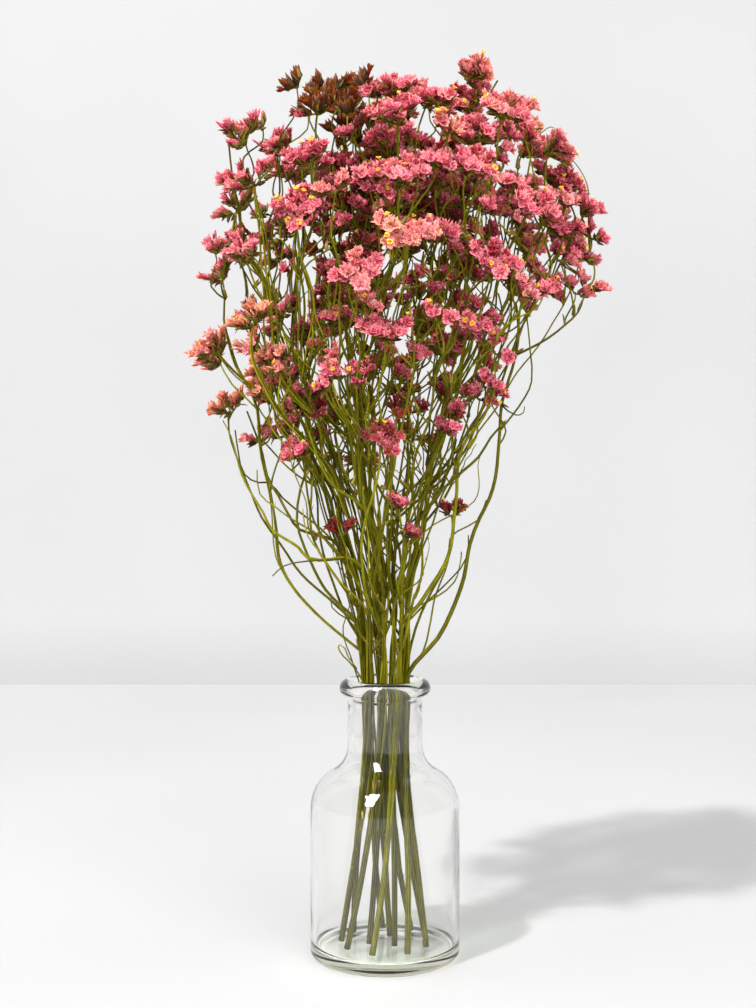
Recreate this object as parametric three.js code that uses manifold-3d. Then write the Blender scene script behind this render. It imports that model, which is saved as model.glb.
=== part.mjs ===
// Dried pink statice standing in a clear glass bottle vase.
// Millimetres, +Z up. The origin is the centre of the vase's flat underside, and +X is to the right when the
// bunch is seen from the front, looking along +Y.
//
// The vase is one turned piece of glass. Each cut spray of statice is one solid: a main stem, its side
// branches, their twigs, and the flower heads, whose papery funnels are raised from a small core.
import * as THREE from "three";
import { mergeVertices } from "three/addons/utils/BufferGeometryUtils.js";
import Module from "manifold-3d";

const wasm = await Module();
wasm.setup();

// ---- Driving dimensions -------------------------------------------------------------------------------

const VASE = {
  height: 129,
  bodyRadius: 35,
  wall: 2.4,
  floor: 5,
  heelRadius: 4,
  shoulderBase: 69, // height where the straight wall ends
  shoulderRadius: 19,
  shoulderTurn: THREE.MathUtils.degToRad(62),
  neckRadius: 17.6,
  lipRadius: 21.4,
  lipHeight: 8.6,
  sides: 22,
};

// The sheaf of stems: [height, radius, lean]. It is tightest in the neck, opens below it and above it, and
// leans a little to one side and then to the other.
const SHEAF = [
  [0, 25, 0],
  [50, 16, 0],
  [92, 10.6, 0],
  [129, 12, 0],
  [165, 14.5, 0],
  [200, 22, -3],
  [235, 37, -6],
  [270, 54, -6],
  [300, 66, 0],
  [340, 78, 6],
  [375, 84, 5],
  [400, 88, 14],
  [430, 92, 26],
];
const SHEAF_TWIST = THREE.MathUtils.degToRad(55); // turn of the crossed stems between floor and mouth
const SHEAF_DEPTH = 0.84; // depth of the opened bunch over its width
const SHEAF_OPEN = 250; // height where the bunch has that depth

// The stems stand in two rings: [stems, share of the sheaf's radius, angle of the first, height above which
// they branch].
const RINGS = [
  [3, 0.34, 0.2, 200],
  [9, 0.86, 0.5, 138],
];
const RING_JITTER = 0.3; // share of the angle between two stems
const SEED = 5.1;

// The green parts: radii at both ends, sides and steps of the tube, sway as a share of the length, and how
// strongly a branch swings out before it rises.
const STEM = {
  base: 1.6,
  tip: 0.95,
  sides: 4,
  step: 32,
  sway: 0.07, // as a share of the sheaf's radius
  wave: 28, // the sway's wavelength over 2 pi
  waveTurn: 2.4, // how far out of step each stem's sway is with the last one's
  straight: 210, // the sway is full from here up
  bend: 110, // length over which the top bends to its head
};
const BRANCH = { base: 0.85, tip: 0.65, sides: 3, steps: 5, sway: 0.12, bow: 1.5, outerBow: 0.5 };
const TWIG = { base: 0.6, tip: 0.5, sides: 3, steps: 2, sway: 0.1, bow: 1.4 };
const TENDRIL = { base: 0.55, tip: 0.45, sides: 3, steps: 4, sway: 0.3, bow: 2, from: 50, rise: 39, reach: 19 };
// How far below its fork a branch leaves the stem: a least rise, a share of its spread, and a random rise
// that is longer on the outer branches.
const RISE = { least: 24, perSpread: 0.9, random: 24, outerRandom: 90, outerFrom: 0.9, outerTo: 1.3 };
const FORK = { heads: 3, reach: 48, below: 24, towardsStem: 0.12, spacing: 14 };
const TOP_CHOICE = 60; // how much a head off its stem's line counts against its height, to be the top one
const GAP = 0.4; // least distance between two sprays, or between a spray and the glass
const FOOT_TILT = 0.45; // what a leaning stem's cut end dips below its middle

// The dome of flower heads: [share of the heads, radius, height] from its crown to its lower edge.
const DOME = [
  [0, 0, 396],
  [0.09, 26, 395],
  [0.27, 52, 388],
  [0.42, 69, 375],
  [0.56, 79, 359],
  [0.7, 84, 339],
  [0.85, 82, 311],
  [1, 76, 278],
];
const DOME_HEADS = 60;
const RIGHT_RISE = { share: 0.32, full: 300, none: 345 }; // lifts its lower edge, by the distance to the right
const DOME_SIZE = [1.05, 1.5];
const INNER = { heads: 10, radius: 0.6, drop: 34 }; // a second, smaller layer under the dome
const CROWN = 402; // no head's middle stands above this height
const GOLDEN_ANGLE = Math.PI * (3 - Math.sqrt(5));

// Heads that stand below the dome, each on a side branch of its own: [x, y, z, size].
const LOW_HEADS = [
  [4, -46, 237, 1.15],
  [-41, -24, 234, 1],
  [-73, 4, 255, 1.1],
  [-60, 16, 243, 0.75],
  [9, -31, 209, 0.75],
  [31, -8, 206, 0.6],
  [-19, -18, 197, 0.6],
  [-17, -44, 268, 0.75],
  [-78, 2, 279, 1],
  [-64, -16, 282, 0.9],
  [-44, -24, 266, 0.75],
  [38, -46, 288, 0.95],
  [66, -34, 304, 0.9],
  [95, -6, 346, 0.95],
  [30, 50, 268, 1],
  [-34, 52, 262, 0.95],
  [-8, 50, 229, 0.75],
];

// A head: the half axes of its core, how far out its funnels reach and flare, how deep their mouths are, how
// much it leans out for each millimetre from the middle, and the sizes from which it has more funnels.
const HEAD = {
  core: [4.1, 3.1, 3],
  reach: 2.8,
  flare: 2,
  smallFlare: 1.6,
  mouth: 0.72,
  lean: 0.011,
  mediumSize: 0.85,
  fullSize: 1.2,
};
const SETTLE_PASSES = 14;

// ---- Helpers ------------------------------------------------------------------------------------------

// A repeatable random number from 0 to 1 for one item and one use of it.
function draw(item, use) {
  const s = Math.sin(item * 12.9898 + use * 78.233 + SEED) * 43758.5453;
  return s - Math.floor(s);
}

// The value at t on a table of [t, value, value, ...] rows, in straight lines between them.
function lookUp(table, t, column = 1) {
  let row = 1;
  while (row < table.length - 1 && t > table[row][0]) row++;
  const [low, high] = [table[row - 1], table[row]];
  const share = Math.min(Math.max((t - low[0]) / (high[0] - low[0]), 0), 1);
  return low[column] + (high[column] - low[column]) * share;
}

// A closed geometry as a solid: repeated vertices are merged, and the empty triangles at a pole left out.
function solidOf(geometry) {
  geometry.deleteAttribute("normal");
  geometry.deleteAttribute("uv");
  const merged = mergeVertices(geometry, 1e-4);
  const corners = [];
  for (let i = 0; i < merged.index.count; i += 3) {
    const [a, b, c] = merged.index.array.slice(i, i + 3);
    if (a !== b && b !== c && c !== a) corners.push(a, b, c);
  }
  return new wasm.Manifold(
    new wasm.Mesh({
      numProp: 3,
      vertProperties: merged.attributes.position.array,
      triVerts: new Uint32Array(corners),
    }),
  );
}

function geometryOf(solid) {
  const mesh = solid.getMesh();
  return new THREE.BufferGeometry()
    .setAttribute("position", new THREE.BufferAttribute(mesh.vertProperties, 3))
    .setIndex(new THREE.BufferAttribute(mesh.triVerts, 1));
}

// A tapered tube: a cylinder whose rings are moved onto the points of a path.
function tubeAlong(points, { base, tip, sides }) {
  const steps = points.length - 1;
  const tube = new THREE.CylinderGeometry(1, 1, 1, sides, steps);
  let side = new THREE.Vector3(1, 0.3, 0);
  const rings = points.map((point, i) => {
    const along = points[Math.min(i + 1, steps)].clone().sub(points[Math.max(i - 1, 0)]).normalize();
    side = side.clone().addScaledVector(along, -side.dot(along)).normalize();
    const radius = THREE.MathUtils.lerp(base, tip, i / steps);
    return { point, radius, side, across: side.clone().cross(along) };
  });
  const position = tube.attributes.position;
  for (let i = 0; i < position.count; i++) {
    const ring = rings[Math.round((position.getY(i) + 0.5) * steps)];
    const moved = ring.point
      .clone()
      .addScaledVector(ring.side, position.getX(i) * ring.radius)
      .addScaledVector(ring.across, position.getZ(i) * ring.radius);
    position.setXYZ(i, moved.x, moved.y, moved.z);
  }
  return solidOf(tube);
}

// ---- The vase -----------------------------------------------------------------------------------------

// Draws the line from the heel to the neck, at a distance inside the outer surface.
function drawWall(path, inset) {
  const { bodyRadius, shoulderBase, shoulderRadius, shoulderTurn, neckRadius, heelRadius } = VASE;
  const bottom = inset > 0 ? VASE.floor : 0;
  const centre = bodyRadius - shoulderRadius;
  const [across, up] = [Math.cos(shoulderTurn), Math.sin(shoulderTurn)];
  const filletRadius = (centre + shoulderRadius * across - neckRadius) / (1 - across);
  const filletHeight = shoulderBase + (shoulderRadius + filletRadius) * up;
  path.lineTo(bodyRadius - inset - heelRadius, bottom);
  path.absarc(bodyRadius - inset - heelRadius, bottom + heelRadius, heelRadius, -Math.PI / 2, 0, false);
  path.absarc(centre, shoulderBase, shoulderRadius - inset, 0, shoulderTurn, false);
  const filletCentre = neckRadius + filletRadius;
  path.absarc(filletCentre, filletHeight, filletRadius + inset, Math.PI + shoulderTurn, Math.PI, true);
}

// The outline from the middle of the underside, up the outside, over the lip and down the inside.
function vaseProfile() {
  const lipHalf = VASE.lipHeight / 2;
  const outside = new THREE.Path().moveTo(0, 0);
  drawWall(outside, 0);
  outside.lineTo(VASE.neckRadius, VASE.height - VASE.lipHeight);
  outside.absarc(VASE.lipRadius - lipHalf, VASE.height - lipHalf, lipHalf, -Math.PI / 2.6, Math.PI / 2, false);
  const inside = new THREE.Path().moveTo(0, VASE.floor);
  drawWall(inside, VASE.wall);
  inside.lineTo(VASE.neckRadius - VASE.wall, VASE.height - 1.6);
  return [...outside.getPoints(2), ...inside.getPoints(1).reverse()];
}

function makeVase() {
  const turned = new THREE.LatheGeometry(vaseProfile(), VASE.sides);
  turned.rotateX(Math.PI / 2);
  return solidOf(turned);
}

// ---- The sheaf: where each spray's stem runs, and the space that is its own -------------------------------

// The shape of the sheaf at a height: its radius, its lean, and its depth over its width.
function sheafAt(z) {
  const opened = THREE.MathUtils.smoothstep(z, VASE.height, SHEAF_OPEN);
  return {
    radius: lookUp(SHEAF, z, 1),
    lean: lookUp(SHEAF, z, 2),
    depth: THREE.MathUtils.lerp(1, SHEAF_DEPTH, opened),
  };
}

// A place in the sheaf is a flat vector: the same vector at every height is one stem's line.
function pointAt(flat, z) {
  const { radius, lean, depth } = sheafAt(z);
  const turn = SHEAF_TWIST * Math.min(z / VASE.height - 1, 0);
  const spun = flat.clone().rotateAround(new THREE.Vector2(), turn);
  return new THREE.Vector3(spun.x * radius + lean, spun.y * radius * depth, z);
}

// The reverse of pointAt, for points above the vase.
function flatOf(point) {
  const { radius, lean, depth } = sheafAt(point.z);
  return new THREE.Vector2((point.x - lean) / radius, point.y / (radius * depth));
}

// Each spray's place in the sheaf, and the height above which it branches.
const stems = RINGS.flatMap(([count, reach, start, lowest], ring) =>
  Array.from({ length: count }, (_, i) => {
    const angle = start + ((i + RING_JITTER * (draw(i, 20 + ring) - 0.5)) * 2 * Math.PI) / count;
    const flat = new THREE.Vector2(reach * Math.cos(angle), reach * Math.sin(angle));
    return { flat, lowest, outer: ring > 0 };
  }),
);

// Moves a flat place so that it stays nearer to its own stem than to any other, by a clearance in mm.
function keepToOwn(flat, spray, z, clearance) {
  const kept = flat.clone();
  const own = stems[spray].flat;
  const { radius, depth } = sheafAt(z);
  for (let pass = 0; pass < 3; pass++)
    stems.forEach((other, i) => {
      if (i === spray) return;
      const away = other.flat.clone().sub(own);
      const limit = away.length() / 2 - clearance / (radius * depth);
      away.normalize();
      const past = kept.clone().sub(own).dot(away) - limit;
      if (past > 0) kept.addScaledVector(away, -past);
    });
  return kept;
}

// ---- Flower heads: where they stand -------------------------------------------------------------------

// The width that a head takes up.
const headWidth = (size) => (HEAD.core[0] + HEAD.core[1]) * HEAD.reach * size;

// The heads of the dome, from its crown down, then those of the layer under it and those below.
function placeHeads() {
  const heads = [];
  for (let i = 0; i < DOME_HEADS + INNER.heads; i++) {
    const inner = i >= DOME_HEADS;
    const t = inner ? (i - DOME_HEADS + 0.5) / INNER.heads : (i + 0.5) / DOME_HEADS;
    const angle = i * GOLDEN_ANGLE + (draw(i, 5) - 0.5) * 0.3;
    const sunk = inner ? 1 : draw(i, 6) * 0.28;
    const radius = lookUp(DOME, t, 1) * (1 - (1 - INNER.radius) * sunk);
    const level = lookUp(DOME, t, 2) - INNER.drop * sunk + (draw(i, 7) - 0.5) * 12;
    const x = radius * Math.cos(angle) + sheafAt(level).lean;
    const rises = 1 - THREE.MathUtils.smoothstep(level, RIGHT_RISE.full, RIGHT_RISE.none);
    const z = level + RIGHT_RISE.share * Math.max(x, 0) * rises;
    const y = radius * Math.sin(angle) * SHEAF_DEPTH;
    const size = inner ? 0.8 : THREE.MathUtils.lerp(...DOME_SIZE, draw(i, 8));
    heads.push({ point: new THREE.Vector3(x, y, z), size });
  }
  LOW_HEADS.forEach(([x, y, z, size]) => heads.push({ point: new THREE.Vector3(x, y, z), size }));
  heads.forEach((head, index) => {
    const flat = flatOf(head.point);
    const distances = stems.map((stem) => stem.flat.distanceTo(flat));
    head.index = index;
    head.spray = distances.indexOf(Math.min(...distances));
  });
  return heads;
}

// Pushes crowded heads apart, and holds each in its own spray's space.
function settleHeads(heads) {
  for (let pass = 0; pass < SETTLE_PASSES; pass++) {
    heads.forEach((head, i) =>
      heads.slice(i + 1).forEach((other) => {
        const apart = other.point.clone().sub(head.point);
        const least = (headWidth(head.size) + headWidth(other.size)) / 2;
        const push = (least - apart.length()) / 2;
        if (push <= 0) return;
        apart.setLength(push);
        head.point.sub(apart);
        other.point.add(apart);
      }),
    );
    heads.forEach((head) => {
      head.point.z = Math.min(head.point.z, CROWN);
      head.flat = keepToOwn(flatOf(head.point), head.spray, head.point.z, headWidth(head.size) / 2);
      head.point = pointAt(head.flat, head.point.z);
    });
  }
}

// ---- Flower heads: their form -------------------------------------------------------------------------

// The half axes of a head's core: long, wide and up. It faces up and out, and lies at a random turn.
function headAxes({ index, point, size }) {
  const up = new THREE.Vector3(point.x, point.y, 0)
    .multiplyScalar(HEAD.lean)
    .add(new THREE.Vector3(draw(index, 1) - 0.5, draw(index, 2) - 0.5, 1))
    .normalize();
  const turn = draw(index, 3) * Math.PI;
  const flatLong = new THREE.Vector3(Math.cos(turn), Math.sin(turn), 0);
  const long = flatLong.addScaledVector(up, -flatLong.dot(up)).normalize();
  const wide = up.clone().cross(long);
  return [long, wide, up].map((axis, i) => axis.multiplyScalar(HEAD.core[i] * size));
}

// A head: a many-sided core with a three-sided papery funnel raised from each of its upper faces.
function headSolid(head) {
  const small = head.size < HEAD.mediumSize;
  const core = (small ? new THREE.OctahedronGeometry(1) : new THREE.IcosahedronGeometry(1)).attributes.position;
  const [long, wide, up] = headAxes(head);
  const lowest = head.size > HEAD.fullSize ? -0.2 : 0.1;
  const points = [];
  const addTriangle = (...corners) =>
    corners.forEach(({ x, y, z }) => {
      const moved = head.point.clone().addScaledVector(long, x).addScaledVector(wide, y).addScaledVector(up, z);
      points.push(moved);
    });
  for (let face = 0; face < core.count / 3; face++) {
    const corners = [0, 1, 2].map((i) => new THREE.Vector3().fromBufferAttribute(core, face * 3 + i));
    const centre = corners[0].clone().add(corners[1]).add(corners[2]).divideScalar(3);
    if (centre.z / centre.length() < lowest) {
      addTriangle(...corners);
      continue;
    }
    const reach = HEAD.reach * (0.8 + 0.4 * draw(head.index * 20 + face, 4));
    const mouth = centre.clone().setLength(reach);
    const throat = centre.clone().setLength(reach * HEAD.mouth);
    const flare = small ? HEAD.smallFlare : HEAD.flare;
    const rim = corners.map((corner) => corner.clone().sub(centre).multiplyScalar(flare).add(mouth));
    [0, 1, 2].forEach((i) => {
      const j = (i + 1) % 3;
      addTriangle(corners[i], corners[j], rim[j]);
      addTriangle(corners[i], rim[j], rim[i]);
      addTriangle(rim[i], rim[j], throat);
    });
  }
  return solidOf(new THREE.BufferGeometry().setFromPoints(points));
}

// ---- Sprays -------------------------------------------------------------------------------------------

// The points from one place in a spray to another: they swing outwards first, then rise, and sway.
function branchPath(from, to, spray, item, form, bow = form.bow) {
  const length = from.distanceTo(to);
  const sway = new THREE.Vector3(draw(item, 11) - 0.5, draw(item, 12) - 0.5).multiplyScalar(length * form.sway);
  return Array.from({ length: form.steps + 1 }, (_, i) => {
    const t = i / form.steps;
    const point = from.clone().lerp(to, 1 - (1 - t) ** bow);
    point.addScaledVector(sway, Math.sin(2 * Math.PI * t) + Math.sin(Math.PI * t));
    point.z = THREE.MathUtils.lerp(from.z, to.z, t);
    return pointAt(keepToOwn(flatOf(point), spray, point.z, form.base + GAP / 2), point.z);
  });
}

// Shares a spray's heads out to its side branches: up to three near neighbours round the stem on each.
function groupHeads(heads, stem) {
  const round = (head) => Math.atan2(head.flat.y - stem.y, head.flat.x - stem.x);
  const groups = [];
  [...heads]
    .sort((a, b) => round(a) - round(b))
    .forEach((head) => {
      const last = groups[groups.length - 1];
      const near = (other) => other.point.distanceTo(head.point) < FORK.reach;
      const joins = last && last.length < FORK.heads && last.every(near);
      if (joins) last.push(head);
      else groups.push([head]);
    });
  return groups;
}

// Where a group's branch forks into twigs, or its only head.
function forkOf(group, stem) {
  if (group.length === 1) return group[0].point;
  const middle = new THREE.Vector2();
  group.forEach((head) => middle.addScaledVector(head.flat, 1 / group.length));
  const lowest = Math.min(...group.map((head) => head.point.z));
  return pointAt(middle.lerp(stem, FORK.towardsStem), lowest - FORK.below);
}

// The line of a spray's main stem: it holds its place in the sheaf, sways a little, and bends to its top head.
function stemLine(spray, top) {
  const { flat } = stems[spray];
  return (z) => {
    const bend = THREE.MathUtils.smoothstep(z, top.point.z - STEM.bend, top.point.z);
    const sway = STEM.sway * THREE.MathUtils.smoothstep(z, VASE.height, STEM.straight) * (1 - bend);
    const swaying = flat.clone().lerp(top.flat, bend);
    swaying.x += sway * Math.sin(z / STEM.wave + spray * STEM.waveTurn);
    swaying.y += sway * Math.cos(z / STEM.wave - spray * STEM.waveTurn);
    return pointAt(swaying, z);
  };
}

// The tubes of one spray, each with its points and its form: the main stem, the side branches and their twigs,
// and on the outer sprays a bare, curling twig just above the vase.
function sprayTubes(spray, heads) {
  const { flat, lowest, outer } = stems[spray];
  const rank = (head) => head.point.z - TOP_CHOICE * head.flat.distanceTo(flat);
  const top = heads.reduce((best, head) => (rank(head) > rank(best) ? head : best));
  const onStem = stemLine(spray, top);
  const foot = VASE.floor + GAP + FOOT_TILT;
  const steps = Math.round((top.point.z - foot) / STEM.step);
  const height = (i) => THREE.MathUtils.lerp(foot, top.point.z, i / steps);
  const tubes = [{ form: STEM, points: Array.from({ length: steps + 1 }, (_, i) => onStem(height(i))) }];

  groupHeads(heads.filter((head) => head !== top), flat).forEach((group) => {
    const { index } = group[0];
    const fork = forkOf(group, flat);
    const far = THREE.MathUtils.smoothstep(flatOf(fork).length(), RISE.outerFrom, RISE.outerTo);
    const spread = fork.distanceTo(pointAt(flat, fork.z));
    const rise = RISE.least + RISE.perSpread * spread + (RISE.random + RISE.outerRandom * far) * draw(index, 9);
    const root = onStem(Math.max(fork.z - rise, lowest + FORK.spacing * draw(index, 10)));
    const branch = branchPath(root, fork, spray, index, BRANCH, BRANCH.bow + BRANCH.outerBow * far);
    const twigs = group.map((head) => branchPath(fork, head.point, spray, head.index + 200, TWIG));
    if (group.length > 1) {
      branch.push(...twigs[0].slice(1)); // the branch runs on into its first twig
      twigs.slice(1).forEach((points) => tubes.push({ form: TWIG, points }));
    }
    tubes.push({ form: BRANCH, points: branch });
  });

  if (outer) {
    const z = lowest + TENDRIL.from * draw(spray, 13);
    const tip = pointAt(flat, z + TENDRIL.rise * (0.5 + draw(spray, 14)));
    tip.add(new THREE.Vector3(flat.x, flat.y).setLength(TENDRIL.reach * (0.5 + draw(spray, 15))));
    tubes.push({ form: TENDRIL, points: branchPath(onStem(z), tip, spray, spray + 400, TENDRIL) });
  }
  return tubes;
}

// A spray as one solid. Hollows that the joining seals are filled.
function makeSpray(spray, heads) {
  const pieces = sprayTubes(spray, heads).map(({ form, points }) => tubeAlong(points, form));
  const joined = [...pieces, ...heads.map(headSolid)].reduce((whole, piece) => whole.add(piece));
  const [solid] = joined.decompose().sort((a, b) => b.volume() - a.volume());
  return solid;
}

// ---- The whole part -----------------------------------------------------------------------------------

const part = new THREE.Group();
part.name = "dried_statice_in_vase";

function addMesh(name, solid, look) {
  const mesh = new THREE.Mesh(geometryOf(solid), new THREE.MeshStandardMaterial({ metalness: 0, ...look }));
  mesh.name = name;
  part.add(mesh);
}

addMesh("vase", makeVase(), { color: "#e4ebe7", roughness: 0.05, transparent: true, opacity: 0.35 });

const heads = placeHeads();
settleHeads(heads);
stems.forEach((_, spray) => {
  const own = heads.filter((head) => head.spray === spray);
  const name = `spray_${String(spray + 1).padStart(2, "0")}`;
  addMesh(name, makeSpray(spray, own), { color: "#c4607a", roughness: 0.85 });
});

export default part;
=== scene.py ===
import math
import random
from functools import partial

import bmesh
import bpy
from bmesh.types import BMEdge, BMVert
from mathutils import Matrix, Vector, geometry, noise


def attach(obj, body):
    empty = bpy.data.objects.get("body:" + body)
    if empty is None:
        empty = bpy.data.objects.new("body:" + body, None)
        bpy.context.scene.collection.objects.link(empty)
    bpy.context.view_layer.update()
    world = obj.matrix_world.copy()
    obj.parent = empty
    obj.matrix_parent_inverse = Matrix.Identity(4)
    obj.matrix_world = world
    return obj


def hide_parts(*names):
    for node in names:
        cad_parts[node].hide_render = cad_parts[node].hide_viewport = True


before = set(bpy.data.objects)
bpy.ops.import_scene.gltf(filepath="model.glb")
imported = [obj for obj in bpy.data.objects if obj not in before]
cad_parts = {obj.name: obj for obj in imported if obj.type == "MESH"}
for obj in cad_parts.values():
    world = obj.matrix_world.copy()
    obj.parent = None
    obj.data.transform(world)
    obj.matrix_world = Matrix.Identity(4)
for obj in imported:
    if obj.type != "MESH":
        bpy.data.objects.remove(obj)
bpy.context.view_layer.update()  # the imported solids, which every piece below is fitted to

scene = bpy.context.scene
millimetre = 0.001  # every mesh is built in millimetres and scaled once, when it is finished

# Where the stems run and where they fork, in millimetres
bunch = {
    "seed": 5.1,
    "mouth": 129,  # height of the vase's mouth
    "foot": 5.85,  # height of the cut ends, on the floor of the vase
    # height, radius and lean of the whole sheaf
    "sheaf": [
        (0, 25, 0), (50, 16, 0), (92, 10.6, 0), (129, 12, 0), (165, 14.5, 0), (200, 22, -3), (235, 37, -6),
        (270, 54, -6), (300, 66, 0), (340, 78, 6), (375, 84, 5), (400, 88, 14), (430, 92, 26),
    ],
    "twist": math.radians(55),
    "depth": 0.84,
    "opened": 250,
    # stems, share of the radius, first angle and lowest fork of each ring
    "rings": [(3, 0.34, 0.2, 200), (9, 0.86, 0.5, 138)],
    "ringJitter": 0.3,
    "gap": 0.4,
    "topChoice": 60,
    "rise": {"least": 24, "perSpread": 0.9, "random": 24, "outerRandom": 90, "outerFrom": 0.9, "outerTo": 1.3},
    "fork": {"heads": 3, "reach": 48, "below": 24, "towardsStem": 0.12, "spacing": 14},
}

# The green tubes. base is the radius that the layout leaves room for, and drawn the radii that are shown.
# The rest is their sway, and how far a branch swings out before it rises
tubes = {
    "stem": {
        "step": 32, "sway": 0.07, "wave": 28, "waveTurn": 2.4, "straight": 210, "bend": 110,
        # radius by height
        "girth": [(0, 1.5), (70, 1.4), (110, 1.2), (150, 1.1), (185, 0.85), (240, 0.62), (320, 0.5), (420, 0.45)],
    },
    "branch": {"base": 0.85, "drawn": (0.7, 0.44), "steps": 5, "sway": 0.12, "bow": 1.5, "outerBow": 0.5},
    "twig": {"base": 0.6, "drawn": (0.5, 0.4), "steps": 2, "sway": 0.1, "bow": 1.4},
    "tendril": {
        "base": 0.55, "drawn": (0.5, 0.3), "steps": 4, "sway": 0.3, "bow": 2, "from": 50, "rise": 39, "reach": 19,
    },
    "arch": {"drawn": (0.72, 0.4), "steps": 8, "sway": 0.09, "wiggle": 0.7, "bow": (1.3, 2.4), "waves": (1, 1.9)},
    "climber": {"drawn": (0.58, 0.38), "steps": 9, "sway": 0.2, "wiggle": 0.7, "bow": (1.1, 2.2), "waves": (1, 2.4)},
    "sprigTwig": {"base": 0.1, "drawn": (0.46, 0.34), "steps": 4, "sway": 0.3, "bow": 1.6},
    "curl": {"drawn": (0.4, 0.18)},
    "fibre": {"drawn": (0.55, 0.42), "steps": 7},
    "shoot": {"drawn": (0.42, 0.34)},
    "rachis": {"drawn": (0.5, 0.3)},
}

# The flower heads: where they stand, and their form
headForm = {
    # share of the heads, radius and height, from the crown down
    "dome": [
        (0, 0, 396), (0.09, 26, 395), (0.27, 52, 388), (0.42, 69, 375),
        (0.56, 79, 359), (0.7, 84, 339), (0.85, 82, 311), (1, 76, 278),
    ],
    "domeHeads": 60,
    "domeSize": (1.05, 1.5),
    "turnJitter": 0.3,
    "levelJitter": 12,
    "sunk": 0.28,  # how far towards the inner heads a dome's head may stand
    "rightRise": (0.32, 300, 345),  # what the lower edge rises for each millimetre to the right, and where that ends
    "innerHeads": 10,
    "innerSize": 0.8,
    "innerRadius": 0.6,
    "innerDrop": 34,
    "crown": 402,
    "passes": 14,
    "core": (4.1, 3.1, 3.0),
    "reach": 2.8,
    "lean": 0.011,
    # x, y, z and size of the heads below the dome
    "low": [
        (4, -46, 237, 1.15), (-41, -24, 234, 1), (-73, 4, 255, 1.1), (-60, 16, 243, 0.75), (9, -31, 209, 0.75),
        (31, -8, 206, 0.6), (-19, -18, 197, 0.6), (-17, -44, 268, 0.75), (-78, 2, 279, 1), (-64, -16, 282, 0.9),
        (-44, -24, 266, 0.75), (38, -46, 288, 0.95), (66, -34, 304, 0.9), (95, -6, 346, 0.95), (30, 50, 268, 1),
        (-34, 52, 262, 0.95), (-8, 50, 229, 0.75),
    ],
    # what a settled head is moved by, so that it doesn't hide behind a neighbour
    "nudges": {
        5: (-8, 0, 5), 7: (8, 0, -7), 25: (6, 0, 0), 38: (0, 0, 5), 51: (2, 0, 6), 70: (7, 0, 0), 74: (-8, 0, 0),
        83: (-5, 0, 0),
    },
}
goldenAngle = math.pi * (3 - math.sqrt(5))


# A repeatable random number from 0 to 1 for one item and one use of it, and the same about zero
def draw(item, use):
    s = math.sin(item * 12.9898 + use * 78.233 + bunch["seed"]) * 43758.5453
    return s - math.floor(s)


def offset(item, use):
    return draw(item, use) - 0.5


def anyTurn(dice):
    return dice.uniform(0, math.tau)


def jitter(dice, amount):
    return dice.uniform(-amount, amount)


# A random place in a square about zero, or in a box of some height
def anyPlace(dice, height=0):
    return Vector((jitter(dice, 1), jitter(dice, 1), jitter(dice, height) if height else 0))


def onCircle(angle, radius=1):
    return Vector((radius * math.cos(angle), radius * math.sin(angle), 0))


def mix(a, b, t):
    return a + (b - a) * t


def smoothStep(x, low, high):
    t = min(max((x - low) / (high - low), 0), 1)
    return t * t * (3 - 2 * t)


def lookUp(table, t, column=1):
    row = 1
    while row < len(table) - 1 and t > table[row][0]:
        row += 1
    low, high = table[row - 1], table[row]
    return mix(low[column], high[column], min(max((t - low[0]) / (high[0] - low[0]), 0), 1))


# The sheaf at a height: its radius, its lean, and its depth over its width
def sheafAt(z):
    opened = smoothStep(z, bunch["mouth"], bunch["opened"])
    return lookUp(bunch["sheaf"], z, 1), lookUp(bunch["sheaf"], z, 2), mix(1, bunch["depth"], opened)


# A flat place in the sheaf is the same stem's line at every height
def pointAt(flat, z):
    radius, lean, depth = sheafAt(z)
    turn = bunch["twist"] * min(z / bunch["mouth"] - 1, 0)
    x = flat.x * math.cos(turn) - flat.y * math.sin(turn)
    y = flat.x * math.sin(turn) + flat.y * math.cos(turn)
    return Vector((x * radius + lean, y * radius * depth, z))


def flatOf(point):
    radius, lean, depth = sheafAt(point.z)
    return Vector(((point.x - lean) / radius, point.y / (radius * depth)))


def placeStems():
    stems = []
    for ring, (count, reach, start, lowest) in enumerate(bunch["rings"]):
        for i in range(count):
            angle = start + (i + bunch["ringJitter"] * offset(i, 20 + ring)) * math.tau / count
            stems.append({"flat": onCircle(angle, reach).xy, "lowest": lowest, "outer": ring > 0})
    return stems


# Keeps a flat place nearer to its own stem than to any other, by a clearance
def keepToOwn(flat, spray, z, clearance):
    kept, own = flat.copy(), stems[spray]["flat"]
    radius, _, depth = sheafAt(z)
    for other in [stem for stem in stems if stem is not stems[spray]] * 3:
        away = other["flat"] - own
        limit = away.length / 2 - clearance / (radius * depth)
        away.normalize()
        past = (kept - own).dot(away) - limit
        if past > 0:
            kept -= away * past
    return kept


def headWidth(size):
    return (headForm["core"][0] + headForm["core"][1]) * headForm["reach"] * size


def nearestSpray(point):
    flat = flatOf(point)
    return min(range(len(stems)), key=lambda i: (stems[i]["flat"] - flat).length)


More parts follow.
